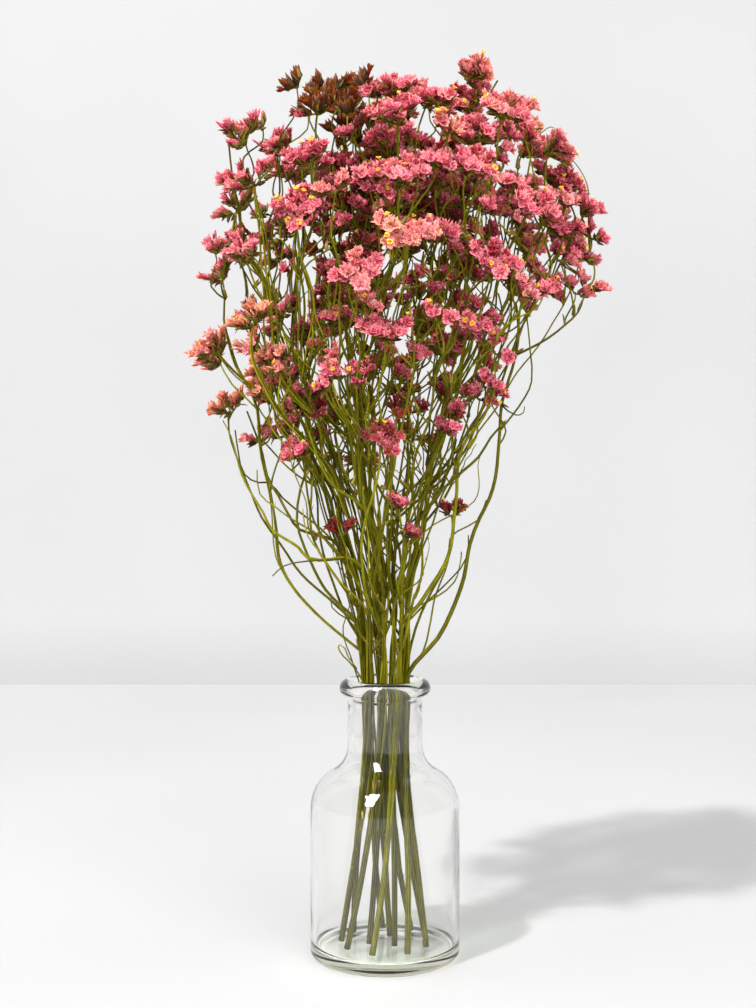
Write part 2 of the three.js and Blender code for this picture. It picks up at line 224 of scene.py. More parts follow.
def placeHeads():
    form, dome, domeHeads, heads = headForm, headForm["dome"], headForm["domeHeads"], []
    rise, full, none = form["rightRise"]
    for i in range(domeHeads + form["innerHeads"]):
        inner = i >= domeHeads
        t = (i - domeHeads + 0.5) / form["innerHeads"] if inner else (i + 0.5) / domeHeads
        angle = i * goldenAngle + offset(i, 5) * form["turnJitter"]
        sunk = 1 if inner else draw(i, 6) * form["sunk"]
        radius = lookUp(dome, t) * (1 - (1 - form["innerRadius"]) * sunk)
        level = lookUp(dome, t, 2) - form["innerDrop"] * sunk + offset(i, 7) * form["levelJitter"]
        x = radius * math.cos(angle) + sheafAt(level)[1]
        z = level + rise * max(x, 0) * (1 - smoothStep(level, full, none))
        size = form["innerSize"] if inner else mix(*form["domeSize"], draw(i, 8))
        heads.append({"point": Vector((x, radius * math.sin(angle) * bunch["depth"], z)), "size": size})
    heads += [{"point": Vector(low[:3]), "size": low[3]} for low in form["low"]]
    for index, head in enumerate(heads):
        head.update(index=index, spray=nearestSpray(head["point"]))
    return heads


# Pushes crowded heads apart, and holds each in its own spray's space
def settleHeads(heads):
    for _ in range(headForm["passes"]):
        for i, head in enumerate(heads):
            for other in heads[i + 1 :]:
                apart = other["point"] - head["point"]
                push = ((headWidth(head["size"]) + headWidth(other["size"])) / 2 - apart.length) / 2
                if push > 0:
                    apart.normalize()
                    head["point"] = head["point"] - apart * push
                    other["point"] = other["point"] + apart * push
        for head in heads:
            point = head["point"]
            point.z = min(point.z, headForm["crown"])
            head["flat"] = keepToOwn(flatOf(point), head["spray"], point.z, headWidth(head["size"]) / 2)
            head["point"] = pointAt(head["flat"], point.z)


# The half axes of a head: long, wide and up. It faces up and out, at a random turn
def headAxes(head):
    index, point = head["index"], head["point"]
    up = Vector((point.x, point.y, 0)) * headForm["lean"]
    up = (up + Vector((offset(index, 1), offset(index, 2), 1))).normalized()
    flatLong = onCircle(draw(index, 3) * math.pi)
    long = (flatLong - up * flatLong.dot(up)).normalized()
    return [axis * core * head["size"] for axis, core in zip((long, up.cross(long), up), headForm["core"])]


# The points from one place in a spray to another: they swing outwards first, then rise, and sway
def branchPath(start, end, spray, item, form, bow=None):
    sway = Vector((offset(item, 11), offset(item, 12), 0)) * (start - end).length * form["sway"]
    points = []
    for i in range(form["steps"] + 1):
        t = i / form["steps"]
        point = start.lerp(end, 1 - (1 - t) ** (bow or form["bow"]))
        point += sway * (math.sin(2 * math.pi * t) + math.sin(math.pi * t))
        point.z = mix(start.z, end.z, t)
        clearance = form["base"] + bunch["gap"] / 2
        points.append(pointAt(keepToOwn(flatOf(point), spray, point.z, clearance), point.z))
    return points


# Shares a spray's heads out to its side branches, up to three near neighbours on each
def groupHeads(heads, stemFlat):
    fork, groups = bunch["fork"], []
    for head in sorted(heads, key=lambda h: math.atan2(h["flat"].y - stemFlat.y, h["flat"].x - stemFlat.x)):
        last = groups[-1] if groups else []
        near = all((other["point"] - head["point"]).length < fork["reach"] for other in last)
        if last and len(last) < fork["heads"] and near:
            last.append(head)
        else:
            groups.append([head])
    return groups


def forkOf(group, stemFlat):
    if len(group) == 1:
        return group[0]["point"]
    middle = sum((head["flat"] / len(group) for head in group), Vector((0, 0)))
    lowest = min(head["point"].z for head in group)
    return pointAt(middle.lerp(stemFlat, bunch["fork"]["towardsStem"]), lowest - bunch["fork"]["below"])


# A main stem keeps its place in the sheaf, sways a little, and bends to its top head
def stemLine(spray, top):
    flat, form = stems[spray]["flat"], tubes["stem"]

    def onStem(z):
        bend = smoothStep(z, top["point"].z - form["bend"], top["point"].z)
        sway = form["sway"] * smoothStep(z, bunch["mouth"], form["straight"]) * (1 - bend)
        swaying = flat.lerp(top["flat"], bend)
        swaying.x += sway * math.sin(z / form["wave"] + spray * form["waveTurn"])
        swaying.y += sway * math.cos(z / form["wave"] - spray * form["waveTurn"])
        return pointAt(swaying, z)

    return onStem


# The tubes of one spray: its main stem, side branches and twigs, and a bare curling twig above the vase
def sprayTubes(spray, heads):
    flat, lowest, outer = stems[spray]["flat"], stems[spray]["lowest"], stems[spray]["outer"]
    rise, form = bunch["rise"], tubes["tendril"]
    top = max(heads, key=lambda h: h["point"].z - bunch["topChoice"] * (h["flat"] - flat).length)
    onStem = stemLine(spray, top)
    steps = round((top["point"].z - bunch["foot"]) / tubes["stem"]["step"])
    stem = [onStem(mix(bunch["foot"], top["point"].z, i / steps)) for i in range(steps + 1)]
    made = [{"form": "stem", "points": stem}]
    for group in groupHeads([head for head in heads if head is not top], flat):
        index, fork = group[0]["index"], forkOf(group, flat)
        far = smoothStep(flatOf(fork).length, rise["outerFrom"], rise["outerTo"])
        drop = rise["least"] + rise["perSpread"] * (fork - pointAt(flat, fork.z)).length
        drop += (rise["random"] + rise["outerRandom"] * far) * draw(index, 9)
        root = onStem(max(fork.z - drop, lowest + bunch["fork"]["spacing"] * draw(index, 10)))
        bow = tubes["branch"]["bow"] + tubes["branch"]["outerBow"] * far
        branch = branchPath(root, fork, spray, index, tubes["branch"], bow)
        twigs = [branchPath(fork, head["point"], spray, head["index"] + 200, tubes["twig"]) for head in group]
        if len(group) > 1:
            branch += twigs[0][1:]  # the branch runs on into its first twig
            made += [{"form": "twig", "points": points} for points in twigs[1:]]
        made.append({"form": "branch", "points": branch})
    if outer:
        z = lowest + form["from"] * draw(spray, 13)
        tip = pointAt(flat, z + form["rise"] * (0.5 + draw(spray, 14)))
        tip += flat.to_3d().normalized() * form["reach"] * (0.5 + draw(spray, 15))
        made.append({"form": "tendril", "points": branchPath(onStem(z), tip, spray, spray + 400, form)})
    return made


stems = placeStems()
heads = placeHeads()
settleHeads(heads)
for index, nudge in headForm["nudges"].items():
    heads[index]["point"] += Vector(nudge)
sprayParts = [sprayTubes(spray, [h for h in heads if h["spray"] == spray]) for spray in range(len(stems))]
print("layout: %d sprays, %d heads, %d tubes" % (len(stems), len(heads), sum(map(len, sprayParts))))

# Branches that draw the outline of the open part: spray, height of the root on its stem or none, radius at both
# ends, and the points they pass
edgeStems = [
    (11, 122, (1.1, 0.6), [
        (11, -3, 132), (17, -5, 140), (25, -8, 149), (31, -9, 161), (36, -10, 177), (41, -10, 192), (45, -9, 204),
        (49, -8, 213), (51, -8, 223), (52, -8, 235), (53, -8, 245), (55, -6, 257), (59, -4, 267), (61, -2, 281),
        (62, 0, 295), (62, 2, 307),
    ]),
    (11, None, (0.5, 0.3), [
        (53, -8, 245), (58, -10, 251), (66, -14, 261), (69, -16, 268), (67, -18, 281), (65, -18, 292), (65, -18, 302),
    ]),
    (11, None, (0.4, 0.2), [(55, -6, 257), (60, -12, 252), (63, -15, 253), (64, -16, 256)]),
    (11, None, (0.65, 0.45), [
        (61, -2, 281), (68, -4, 284), (76, -6, 288), (83, -6, 294), (88, -6, 300), (90, -5, 305),
    ]),
    (10, 156, (1.0, 0.55), [
        (15, -12, 164), (21, -15, 173), (28, -18, 184), (32, -20, 193), (34, -21, 204), (34, -22, 217),
        (34, -24, 230), (37, -26, 240), (42, -28, 247), (47, -30, 256), (49, -32, 267),
    ]),
    (3, 122, (0.55, 0.4), [
        (12, 4, 132), (18, 5, 141), (21, 7, 152), (25, 9, 167), (28, 10, 179), (32, 12, 194), (37, 12, 198),
        (45, 10, 203), (48, 8, 213),
    ]),
    (10, 196, (0.8, 0.5), [
        (20, -24, 210), (27, -24, 218), (36, -25, 226), (43, -22, 232), (49, -14, 241), (53, -8, 246),
    ]),
    (4, 200, (0.7, 0.45), [
        (27, 20, 222), (33, 22, 234), (41, 24, 247), (49, 26, 261), (56, 28, 273), (63, 30, 284), (69, 32, 300),
    ]),
    (7, 138, (0.9, 0.5), [
        (-13, -10, 157), (-22, -12, 165), (-28, -14, 171), (-31, -15, 177), (-34, -16, 185), (-36, -17, 192),
        (-38, -18, 204), (-39, -20, 218), (-37, -21, 230), (-41, -22, 240),
    ]),
    (8, 181, (1.0, 0.28), [
        (-17, -16, 186), (-26, -18, 186), (-35, -20, 187), (-39, -20, 192), (-46, -20, 196), (-54, -18, 200),
        (-59, -16, 207), (-63, -14, 215), (-66, -12, 224), (-68, -10, 232), (-72, -6, 243), (-76, -3, 250),
    ]),
    (8, None, (0.6, 0.25), [
        (-17, -16, 186), (-23, -20, 186), (-31, -24, 186), (-38, -27, 185), (-45, -30, 183), (-51, -33, 179),
    ]),
    (7, 182, (0.8, 0.45), [
        (-20, -6, 191), (-29, -8, 196), (-38, -10, 199), (-44, -10, 206), (-51, -8, 215), (-56, -4, 223),
        (-57, 0, 234), (-61, 2, 245), (-66, 4, 255),
    ]),
    (6, 180, (0.6, 0.4), [
        (-17, 8, 186), (-28, 10, 197), (-40, 12, 206), (-49, 12, 214), (-56, 10, 221), (-61, 8, 221), (-67, 6, 225),
        (-68, 4, 235), (-70, 4, 246),
    ]),
    (9, 178, (0.9, 0.5), [
        (-6, -20, 202), (-13, -24, 213), (-22, -26, 218), (-28, -28, 223), (-33, -30, 233), (-35, -32, 244),
    ]),
    (8, 116, (0.42, 0.25), [
        (-13, -8, 131), (-16, -12, 141), (-19, -14, 149), (-20, -14, 155), (-18, -14, 164), (-20, -16, 174),
        (-18, -16, 183),
    ]),
    (8, 120, (0.42, 0.3), [
        (-12, -9, 132), (-17, -14, 139), (-21, -17, 144), (-21, -18, 147), (-17, -16, 141), (-13, -12, 135),
    ]),
    (6, 140, (0.6, 0.4), [
        (-12, 2, 161), (-16, 4, 172), (-18, 6, 184), (-23, 8, 196), (-26, 10, 210), (-25, 12, 223), (-28, 14, 237),
    ]),
    (8, 68, (0.35, 0.2), [(-11, -9, 63), (-13, -13, 58), (-13, -13, 52), (-12, -12, 47)]),
    (11, None, (0.35, 0.15), [
        (94, -4, 347), (95, -4, 354), (94, -5, 360), (91, -6, 366), (88, -6, 370), (84, -7, 374), (80, -8, 376),
    ]),
    (11, None, (0.35, 0.2), [
        (64, -8, 380), (67, -9, 382), (72, -10, 382), (74, -11, 383), (77, -12, 385), (79, -13, 383),
    ]),
]

# What fills the bunch between those heads and branches: arching side branches, small sprigs and bare twigs
filling = {
    "arches": (2, 3),  # on a stem of the inner ring and of the outer one
    "archFrom": (134, 262),
    "archRise": (45, 120),
    "archReach": (0.4, 1.02),  # as a share of the sheaf's radius at its tip
    "archSpread": 0.9,
    "archTop": 335,
    "archForks": (1, 3),
    "forkRise": (20, 60),
    "forkAside": 0.8,
    "sprigs": 330,
    "tries": 12000,
    "sprigSize": (0.42, 0.78),
    "room": 0.54,  # least distance to a neighbour, as a share of the widths
    "climbers": 0.08,  # share of the sprigs whose twig comes from far down its stem
    "climbFrom": (70, 215),
    "climbLeast": 60,
    "shrink": (1.02, 0.3),  # how far in from the dome a sprig may stand
    "drop": 50,
    "sprigJitter": (-9, 7),
    "reachDown": (9, 80),  # how far below a sprig its twig may start
    "steep": (26, 1.2),  # a twig that rises less than this is chosen less, by this much a millimetre
    # x, y, z and size of the sprigs that dried brown, at the top on the left
    "dryTops": [
        (-39, -14, 403, 0.62), (-31, 10, 407, 0.6), (-23, -18, 400, 0.7), (-13, -2, 408, 0.62), (-6, -16, 397, 0.55),
        (-34, -30, 390, 0.6), (-18, -34, 386, 0.6),
    ],
    # the same for sprigs that close the outline on both sides
    "edgeSprigs": [
        (92, -6, 312, 0.66), (86, -8, 309, 0.6), (96, 0, 336, 0.6), (90, 0, 326, 0.6), (93, 6, 354, 0.6),
        (83, -20, 347, 0.7), (73, -10, 362, 0.66), (81, -12, 323, 0.66), (84, -8, 360, 0.6), (-79, -2, 330, 0.6),
        (-69, -8, 331, 0.6), (-63, -10, 383, 0.6), (-57, -4, 387, 0.6), (7, -30, 197, 0.45),
    ],
    "thinLeft": (-25, 300, 0.4),  # fewer sprigs left of and above these, by that share
    "curls": 18,  # bare curling twigs on each spray
    "curlLength": (10, 54),
    "curlHeights": (134, 340),
    "curlTop": 396,
    "curlStep": 5,
    "curlBend": (0.1, 0.5),  # turn at each step
    "curlRise": (0.1, 1.5),
    "curlOut": 0.6,
    "fibres": 4,  # thin shoots pressed to each stem, from inside the vase to above its mouth
    "fibreFrom": (25, 100),
    "fibreTo": (126, 170),
    "fibreBeside": 2.1,
    "fibreTwist": (-2, 2),
    "shoots": 2,
    "shootBeside": 4,
    "shootsFrom": (-36, 270),  # on what ends left of and above these
}


def wiggled(point, amount, dice):
    return point + anyPlace(dice, 0.5) * amount


# The point of a tube at a height that it passes, or nothing
def crossing(points, z):
    for low, high in zip(points, points[1:]):
        if low.z <= z < high.z:
            return low.lerp(high, (z - low.z) / (high.z - low.z))
    return None


# A path that runs sideways first and then rises, with a slow sway and small bends
def archPath(start, end, form, dice):
    bow = dice.uniform(*form["bow"])
    sway = anyPlace(dice) * (end - start).length * form["sway"]
    phase, waves = anyTurn(dice), dice.uniform(*form["waves"])
    points = [start]
    for i in range(1, form["steps"] + 1):
        t = i / form["steps"]
        point = start.lerp(end, 1 - (1 - t) ** bow)
        point += sway * math.sin(math.pi * t) * math.sin(phase + waves * math.pi * t)
        point.z = mix(start.z, end.z, t)
        points.append(wiggled(point, form["wiggle"] * (t < 1), dice))
    return points


# Side branches that leave a stem almost sideways and then rise, as on statice, with a few forks each
def placeArches(dice):
    form = tubes["arch"]
    for spray, parts in enumerate(sprayParts):
        flat, stem = stems[spray]["flat"], parts[0]["points"]
        arches = []
        for _ in range(filling["arches"][stems[spray]["outer"]]):
            root = crossing(stem, dice.uniform(*filling["archFrom"]))
            top = min(root.z + dice.uniform(*filling["archRise"]), filling["archTop"])
            target = onCircle(math.atan2(flat.y, flat.x) + dice.gauss(0, filling["archSpread"]))
            target *= dice.uniform(*filling["archReach"])
            arches.append(archPath(root, pointAt(target, top), form, dice))
        parts += [{"form": "arch", "points": points} for points in arches]
        for owner, z, radii, way in edgeStems:
            if owner == spray:
                root = [crossing(stem, z)] if z else []
                parts.append({"form": "arch", "points": root + [Vector(place) for place in way], "radii": radii})
        for carrier in arches:
            for _ in range(dice.randint(*filling["archForks"])):
                fork = carrier[dice.randint(2, form["steps"] - 2)]
                rise = dice.uniform(*filling["forkRise"])
                tip = fork + anyPlace(dice) * rise * filling["forkAside"] + Vector((0, 0, rise))
                parts.append({"form": "curl", "points": archPath(fork, tip, form, dice)})


# The point of a spray's tubes that a twig to the target grows from
def rootFor(target, spray):
    near, far = filling["reachDown"]
    steep, dearer = filling["steep"]
    best, least = None, math.inf
    for tube in sprayParts[spray]:
        if tube["form"] == "tendril":
            continue
        for low, high in zip(tube["points"], tube["points"][1:]):
            for t in (0.0, 0.33, 0.67):
                point = low.lerp(high, t)
                below = target.z - point.z
                cost = (target - point).length + max(0, steep - below) * dearer
                if near < below < far and cost < least:
                    best, least = point, cost
    return best


# A long thin branch that leaves its main stem low down, also inside the vase, and climbs beside it
def climberPath(spray, flat, top, dice):
    form, stem = tubes["climber"], sprayParts[spray][0]["points"]
    root = crossing(stem, min(dice.uniform(*filling["climbFrom"]), top - filling["climbLeast"]))
    rootFlat, bow = flatOf(root), dice.uniform(*form["bow"])
    if root.z < bunch["mouth"]:
        rootFlat = stems[spray]["flat"]
    sway = anyPlace(dice).xy * form["sway"]
    phase, waves = anyTurn(dice), dice.uniform(*form["waves"])
    points = [root]
    for i in range(1, form["steps"] + 1):
        t = i / form["steps"]
        height = mix(root.z, top, t)
        clear = smoothStep(height, bunch["mouth"], bunch["mouth"] + 40)  # of the glass
        place = rootFlat.lerp(flat, (1 - (1 - t) ** bow) * mix(0.3, 1, clear))
        place += sway * math.sin(math.pi * t) * math.sin(phase + waves * math.pi * t) * clear
        points.append(wiggled(pointAt(place, height), form["wiggle"] * clear * (t < 1), dice))
    return points


def addSprig(point, size, sprigs, dice):
    spray = nearestSpray(point)
    root = rootFor(point, spray)
    if root is None:
        return
    index = 1000 + len(sprigs)
    sprigs.append({"point": point, "size": size, "index": index, "spray": spray})
    if dice.random() < filling["climbers"]:
        sprayParts[spray].append({"form": "climber", "points": climberPath(spray, flatOf(point), point.z, dice)})
    else:
        twig = branchPath(root, point, spray, index, tubes["sprigTwig"])
        sprayParts[spray].append({"form": "sprigTwig", "points": twig[:-1] + [point]})


def placeSprigs(dice):
    sprigs, dome = [], headForm["dome"]
    thinX, thinZ, thinShare = filling["thinLeft"]
    for x, y, z, size in filling["dryTops"] + filling["edgeSprigs"]:
        addSprig(Vector((x, y, z)), size, sprigs, dice)
    for _ in range(filling["tries"]):
        t, turn, deep = dice.random(), anyTurn(dice), dice.random() ** 1.3
        radius = lookUp(dome, t) * mix(*filling["shrink"], deep)
        z = lookUp(dome, t, 2) - filling["drop"] * deep + dice.uniform(*filling["sprigJitter"])
        point = Vector((radius * math.cos(turn) + sheafAt(z)[1], radius * math.sin(turn) * bunch["depth"], z))
        size = mix(*filling["sprigSize"], dice.random())
        clear = all(
            (other["point"] - point).length > filling["room"] * (headWidth(other["size"]) + headWidth(size)) / 2
            for other in heads + sprigs
        )
        thinned = point.x < thinX and z > thinZ and dice.random() < thinShare
        if clear and not thinned:
            addSprig(point, size, sprigs, dice)
        if len(sprigs) == filling["sprigs"]:
            break
    return sprigs


# Bare twigs that curl away from the stems and branches, longer where the bunch is wide, and stay inside its outline
def placeCurls(dice):
    low, high = filling["curlHeights"]
    for spray, parts in enumerate(sprayParts):
        carriers = [tube["points"] for tube in parts if tube["form"] in ("stem", "branch", "arch", "climber")]
        outward = stems[spray]["flat"].to_3d().normalized()
        for _ in range(filling["curls"]):
            z = mix(low, high, dice.random() ** 1.3)
            at = crossing(dice.choice(carriers), z)
            if at is None:
                continue
            length = min(mix(*filling["curlLength"], dice.random() ** 1.4), 14 + (z - low) * 0.4)
            heading = (anyPlace(dice) + outward * filling["curlOut"]).normalized()
            heading = (heading + Vector((0, 0, dice.uniform(*filling["curlRise"])))).normalized()
            axis = anyPlace(dice, 1).normalized()
            steps = max(4, round(length / filling["curlStep"]))
            path, bend = [at], dice.uniform(*filling["curlBend"])
            for _ in range(steps):
                axis = wiggled(axis, 0.2, dice).normalized()
                heading = (heading + axis.cross(heading) * bend).normalized()
                at = at + heading * length / steps
                at.z = min(max(at.z, bunch["mouth"] + 3), filling["curlTop"])
                path.append(at.copy())
            if all(math.hypot(point.x, point.y / bunch["depth"]) < sheafAt(point.z)[0] for point in path):
                parts.append({"form": "curl", "points": path})


# Thin shoots that are pressed to a stem, and others that run up beside the branches on the left
def placeFibres(dice):
    steps, (left, above) = tubes["fibre"]["steps"], filling["shootsFrom"]
    for parts in sprayParts:
        for tube in list(parts):
            tip, last = tube["points"][-1], len(tube["points"]) - 1
            if tube["form"] in ("branch", "arch", "climber") and tip.x < left and tip.z > above:
                for _ in range(filling["shoots"]):
                    aside = anyPlace(dice) * filling["shootBeside"]
                    points = [p + aside * math.sin(math.pi * i / last) for i, p in enumerate(tube["points"])]
                    parts.append({"form": "shoot", "points": points})
        for _ in range(filling["fibres"]):
            low, high = dice.uniform(*filling["fibreFrom"]), dice.uniform(*filling["fibreTo"])
            turn, twist = anyTurn(dice), dice.uniform(*filling["fibreTwist"])
            points = []
            for i in range(steps + 1):
                t = i / steps
                away = filling["fibreBeside"] * math.sqrt(math.sin(math.pi * t))
                points.append(crossing(parts[0]["points"], mix(low, high, t)) + onCircle(turn + twist * t) * away)
            parts.append({"form": "fibre", "points": points})


# Dried stems are never quite straight: a slow drift, its own for each spray, bends all that grows on it together
meander = {"seed": 4, "from": 132, "full": 185, "length": 24, "amount": 4.2, "step": 10, "apart": 9.7}


def drifted(point, spray):
    strength = meander["amount"] * smoothStep(point.z, meander["from"], meander["full"])
    drift = noise.noise_vector(point / meander["length"] + Vector((0, 0, spray * meander["apart"])))
    return point + Vector((drift.x, drift.y, drift.z * 0.3)) * strength


# The same path with points at an even step
def resampled(points):
    fine = [points[0]]
    last = len(points) - 1
    for i in range(last):
        before, a, b, after = points[max(i - 1, 0)], points[i], points[i + 1], points[min(i + 2, last)]
        count = max(1, round((b - a).length / meander["step"]))
        handles = a + (b - before) / 6, b - (after - a) / 6
        fine += geometry.interpolate_bezier(a, *handles, b, count + 1)[1:]
    return fine


def bendAll():
    noise.seed_set(meander["seed"])  # without it the noise starts from the time of day
    for spray, parts in enumerate(sprayParts):
        for tube in parts:
            tube["points"] = [drifted(point, spray) for point in resampled(tube["points"])]
    for head in heads + sprigs:
        head["point"] = drifted(head["point"], head["spray"])


placeArches(random.Random(5))
sprigs = placeSprigs(random.Random(21))
placeCurls(random.Random(8))
placeFibres(random.Random(12))
bendAll()
print("filling: %d sprigs, %d tubes in all" % (len(sprigs), sum(map(len, sprayParts))))

# A head is a few banks of florets, each on a short curved axis of its own, as statice's one-sided spikes are
bank = {
    "perHead": 3.8,  # on a head of size 1
    "growth": 1.6,
    "driedLost": 0.45,  # share of the florets that a dried bank has lost
    "thinLeft": 0.4,  # fewer on the left, where the stems show
    "sideways": (1.3, 2.2),  # where an axis ends, in core half axes
    "upwards": (0.0, 0.9),
    "spacing": 2.15,  # between two florets
    "firstFloret": 0.25,
    "fan": (0.25, 0.85),  # how far the two ranks lean apart
    "outward": 0.5,
    "facing": 0.8,  # how far the florets turn to the front or the back of the bunch
    "facingSide": 0.4,
    "tipTurn": 0.75,  # how far the florets at the end of an axis follow it
    "turnJitter": 0.4,
    "kneeJitter": 0.3,
    "toneJitter": 0.1,
    "youngJitter": 0.15,
}


def planBanks(head, dice):
    long, wide, up = headAxes(head)
    centre, size = head["point"], head["size"]
    thin = 1 - bank["thinLeft"] * smoothStep(-centre.x, 35, 60) * smoothStep(centre.z, 285, 325)
    count = max(1, round(bank["perHead"] * size ** bank["growth"] * thin))
    first = anyTurn(dice)
    paths = []
    for i in range(count):
        turn = first + i * math.tau / count + jitter(dice, bank["turnJitter"])
        flatSide = long * math.cos(turn) + wide * math.sin(turn)
        start = centre - up * 0.5
        end = centre + flatSide * dice.uniform(*bank["sideways"]) + up * dice.uniform(*bank["upwards"])
        if count == 1:  # a single one runs across the middle
            start = centre - flatSide * 1.2
            end = centre + flatSide * 1.5 + up * 0.3
        elif count > 3 and i == 0:  # one stands in the middle
            end = centre + flatSide * 0.7 + up * 1.2
        knee = start.lerp(end, 0.5) + up * jitter(dice, bank["kneeJitter"])
        paths.append([start, knee, end])
    return paths


plannedBanks = {}
bankDice = random.Random(33)
for head in heads + sprigs:
    plannedBanks[head["index"]] = planBanks(head, bankDice)
    for path in plannedBanks[head["index"]]:
        sprayParts[head["spray"]].append({"form": "rachis", "points": path})
print("banks: %d" % sum(map(len, plannedBanks.values())))


def addObject(name, data):
    made = bpy.data.objects.new(name, data)
    scene.collection.objects.link(made)
    return made


def newMesh(bm, name, smooth=True):
    for face in bm.faces:
        face.smooth = smooth
    mesh = bpy.data.meshes.new(name)
    bm.to_mesh(mesh)
    bm.free()
    return mesh


# Scales a bmesh to metres, makes it a piece of the object and hangs it on the frame
def finishPiece(name, bm, material, slot, node):
    bmesh.ops.scale(bm, vec=(millimetre,) * 3, verts=bm.verts)
    piece = addObject(name, newMesh(bm, name))
    piece.data.materials.append(material)
    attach(piece, "root")
    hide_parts(node)
    return piece


# An empty bmesh whose vertices carry numbers for the materials: rim is how near the edge of a funnel they stand,
# vein tells folds from grooves, and tone is one number for each floret, scale or tube
def newBmesh(layers=("rim", "vein", "tone")):
    bm = bmesh.new()
    for layer in layers:
        bm.verts.layers.float.new(layer)
    return bm


# Adds a copy of a shape to a bmesh, moved into place, with its own tone of colour
def addCopy(bm, shape, place, tone):
    first = len(bm.verts)
    bm.from_mesh(shape)
    bm.verts.ensure_lookup_table()
    new = bm.verts[first:]
    bmesh.ops.transform(bm, matrix=place, verts=new)
    layer = bm.verts.layers.float["tone"]
    for vert in new:
        vert[layer] = tone


# A frame whose z runs along a direction, at a turn about it
def lay(at, direction, turn, scale):
    towards = direction.to_track_quat("Z", "Y").to_matrix().to_4x4()
    return Matrix.Translation(at) @ towards @ Matrix.Rotation(turn, 4, "Z") @ Matrix.Diagonal((*scale, 1))


# Closed shells of rings: every ring is extruded from the last one, and both ends are filled
def ringShell(rings, segments, shapeVert):
    bm = newBmesh()
    rim, vein = bm.verts.layers.float["rim"], bm.verts.layers.float["vein"]
    bmesh.ops.create_circle(bm, segments=segments, radius=1)
    edges, loop = list(bm.edges), list(bm.verts)
    turns = {vert: round(math.atan2(vert.co.y, vert.co.x) / math.tau * segments) % segments for vert in loop}
    for number, (height, radius, share) in enumerate(rings):
        if number:
            grown = bmesh.ops.extrude_edge_only(bm, edges=edges)["geom"]
            loop = [item for item in grown if isinstance(item, BMVert)]
            edges = [item for item in grown if isinstance(item, BMEdge) and set(item.verts) <= set(loop)]
            for vert in loop:  # each new vertex starts where the one below it stands
                below = next(e.other_vert(vert) for e in vert.link_edges if e.other_vert(vert) not in loop)
                turns[vert] = turns[below]
        for vert in loop:
            step = turns[vert]
            r, z = shapeVert(number, step, radius, height)
            vert.co = (*onCircle(step * math.tau / segments, r).xy, z)
            vert[rim], vert[vein] = share, step % 2
    bmesh.ops.remove_doubles(bm, verts=bm.verts, dist=0.01)  # a ring of no radius becomes a point
    bmesh.ops.holes_fill(bm, edges=bm.edges, sides=0)
    bmesh.ops.recalc_face_normals(bm, faces=bm.faces)
    return bm


# Papery funnels: pleats widen to a ruffled limb, and the mouth is hollow
calyx = {
    # vertices round each, and its rings: height, radius, and how near the ring is to the rim
    "wide": (24, [(0, 0, 0), (3.4, 1.4, 0.5), (5.2, 3.9, 1), (4.0, 0, 0.5)]),
    "open": (18, [(0, 0, 0), (4.0, 1.3, 0.5), (6.0, 3.0, 1), (4.4, 0, 0.5)]),
    "half": (16, [(0, 0, 0), (4.3, 1.1, 0.5), (6.8, 2.2, 1), (4.9, 0, 0.5)]),
    "bud": (8, [(0, 0, 0), (3.6, 0.75, 0.5), (7.0, 0.55, 0.9), (8.2, 0, 1)]),
    "made": {"wide": 8, "open": 8, "half": 5, "bud": 3},  # different shapes of each kind
    "pleat": {"wide": 0.06, "open": 0.1, "half": 0.12, "bud": 0.1},  # in and out, as a share of the radius
    "tooth": {"wide": 0.38, "open": 0.36, "half": 0.4, "bud": 0.2},  # how far the folds stand up at the rim
    "ruffle": {"wide": 0.75, "open": 0.5, "half": 0.5, "bud": 0.1},  # how far the whole rim rises and falls
    "lobe": 0.1,  # five soft lobes round the rim
    "squash": (0.72, 1),
    "crumple": 0.08,
    "height": (0.84, 1.08),
    "width": (0.7, 1.02),
    "wideShare": 0.45,  # of the open ones, where the bunch blooms most
}


def makeCalyx(kind, dice):
    segments, rings = calyx[kind]
    lobes, turn = anyTurn(dice), dice.uniform(0, math.pi)
    squash = dice.uniform(*calyx["squash"]) if kind != "bud" else 1

    def shapeVert(number, step, radius, height):
        if radius == 0:
            return 0, height
        angle, side = step * math.tau / segments, 1 if step % 2 else -1
        flare = rings[number][2] ** 2 if kind != "bud" else 0.15
        fold = calyx["pleat"][kind] * side * (0.3 + flare)
        wave = calyx["lobe"] * math.sin(5 * angle + lobes)
        r = radius * (1 + fold + (wave + jitter(dice, 1) * calyx["crumple"]) * flare)
        r *= 1 - (1 - squash) * abs(math.sin(angle + turn))
        z = height + calyx["ruffle"][kind] * flare * (math.sin(3 * angle + lobes * 2) + jitter(dice, 0.5))
        return r, z + calyx["tooth"][kind] * side * flare * (number == 2)

    bm = ringShell(rings, segments, shapeVert)
    rim = bm.verts.layers.float["rim"]
    for edge in bm.edges:  # the rim stays crisp
        edge.smooth = not all(vert[rim] == 1 for vert in edge.verts)
    return newMesh(bm, "calyx_" + kind)


# The small yellow flower that stands in some of the funnels: five round lobes on a short tube
corolla = {
    "rings": [(4.6, 0.35, 0), (7.0, 0.6, 0.4), (7.9, 1.75, 1), (7.75, 1.0, 0.6), (7.2, 0.35, 0.2)],
    "segments": 10,
    "notch": 0.3,
    "made": 3,
    "share": 0.1,
}


def makeCorolla(dice):
    def shapeVert(number, step, radius, height):
        flare = corolla["rings"][number][2]
        notch = corolla["notch"] * flare * (step % 2 == 0)
        return radius * (1 - notch) * dice.uniform(0.9, 1.1), height + flare * dice.uniform(-0.25, 0.35)

    return newMesh(ringShell(corolla["rings"], corolla["segments"], shapeVert), "corolla")


# Pointed dry scales: one or two clasp each funnel, and larger ones stand under a head and at each fork
bract = {"segments": 5, "rings": 3, "width": 1.15, "thickness": 0.3, "length": 4.6, "bend": 0.07, "cup": 0.16}


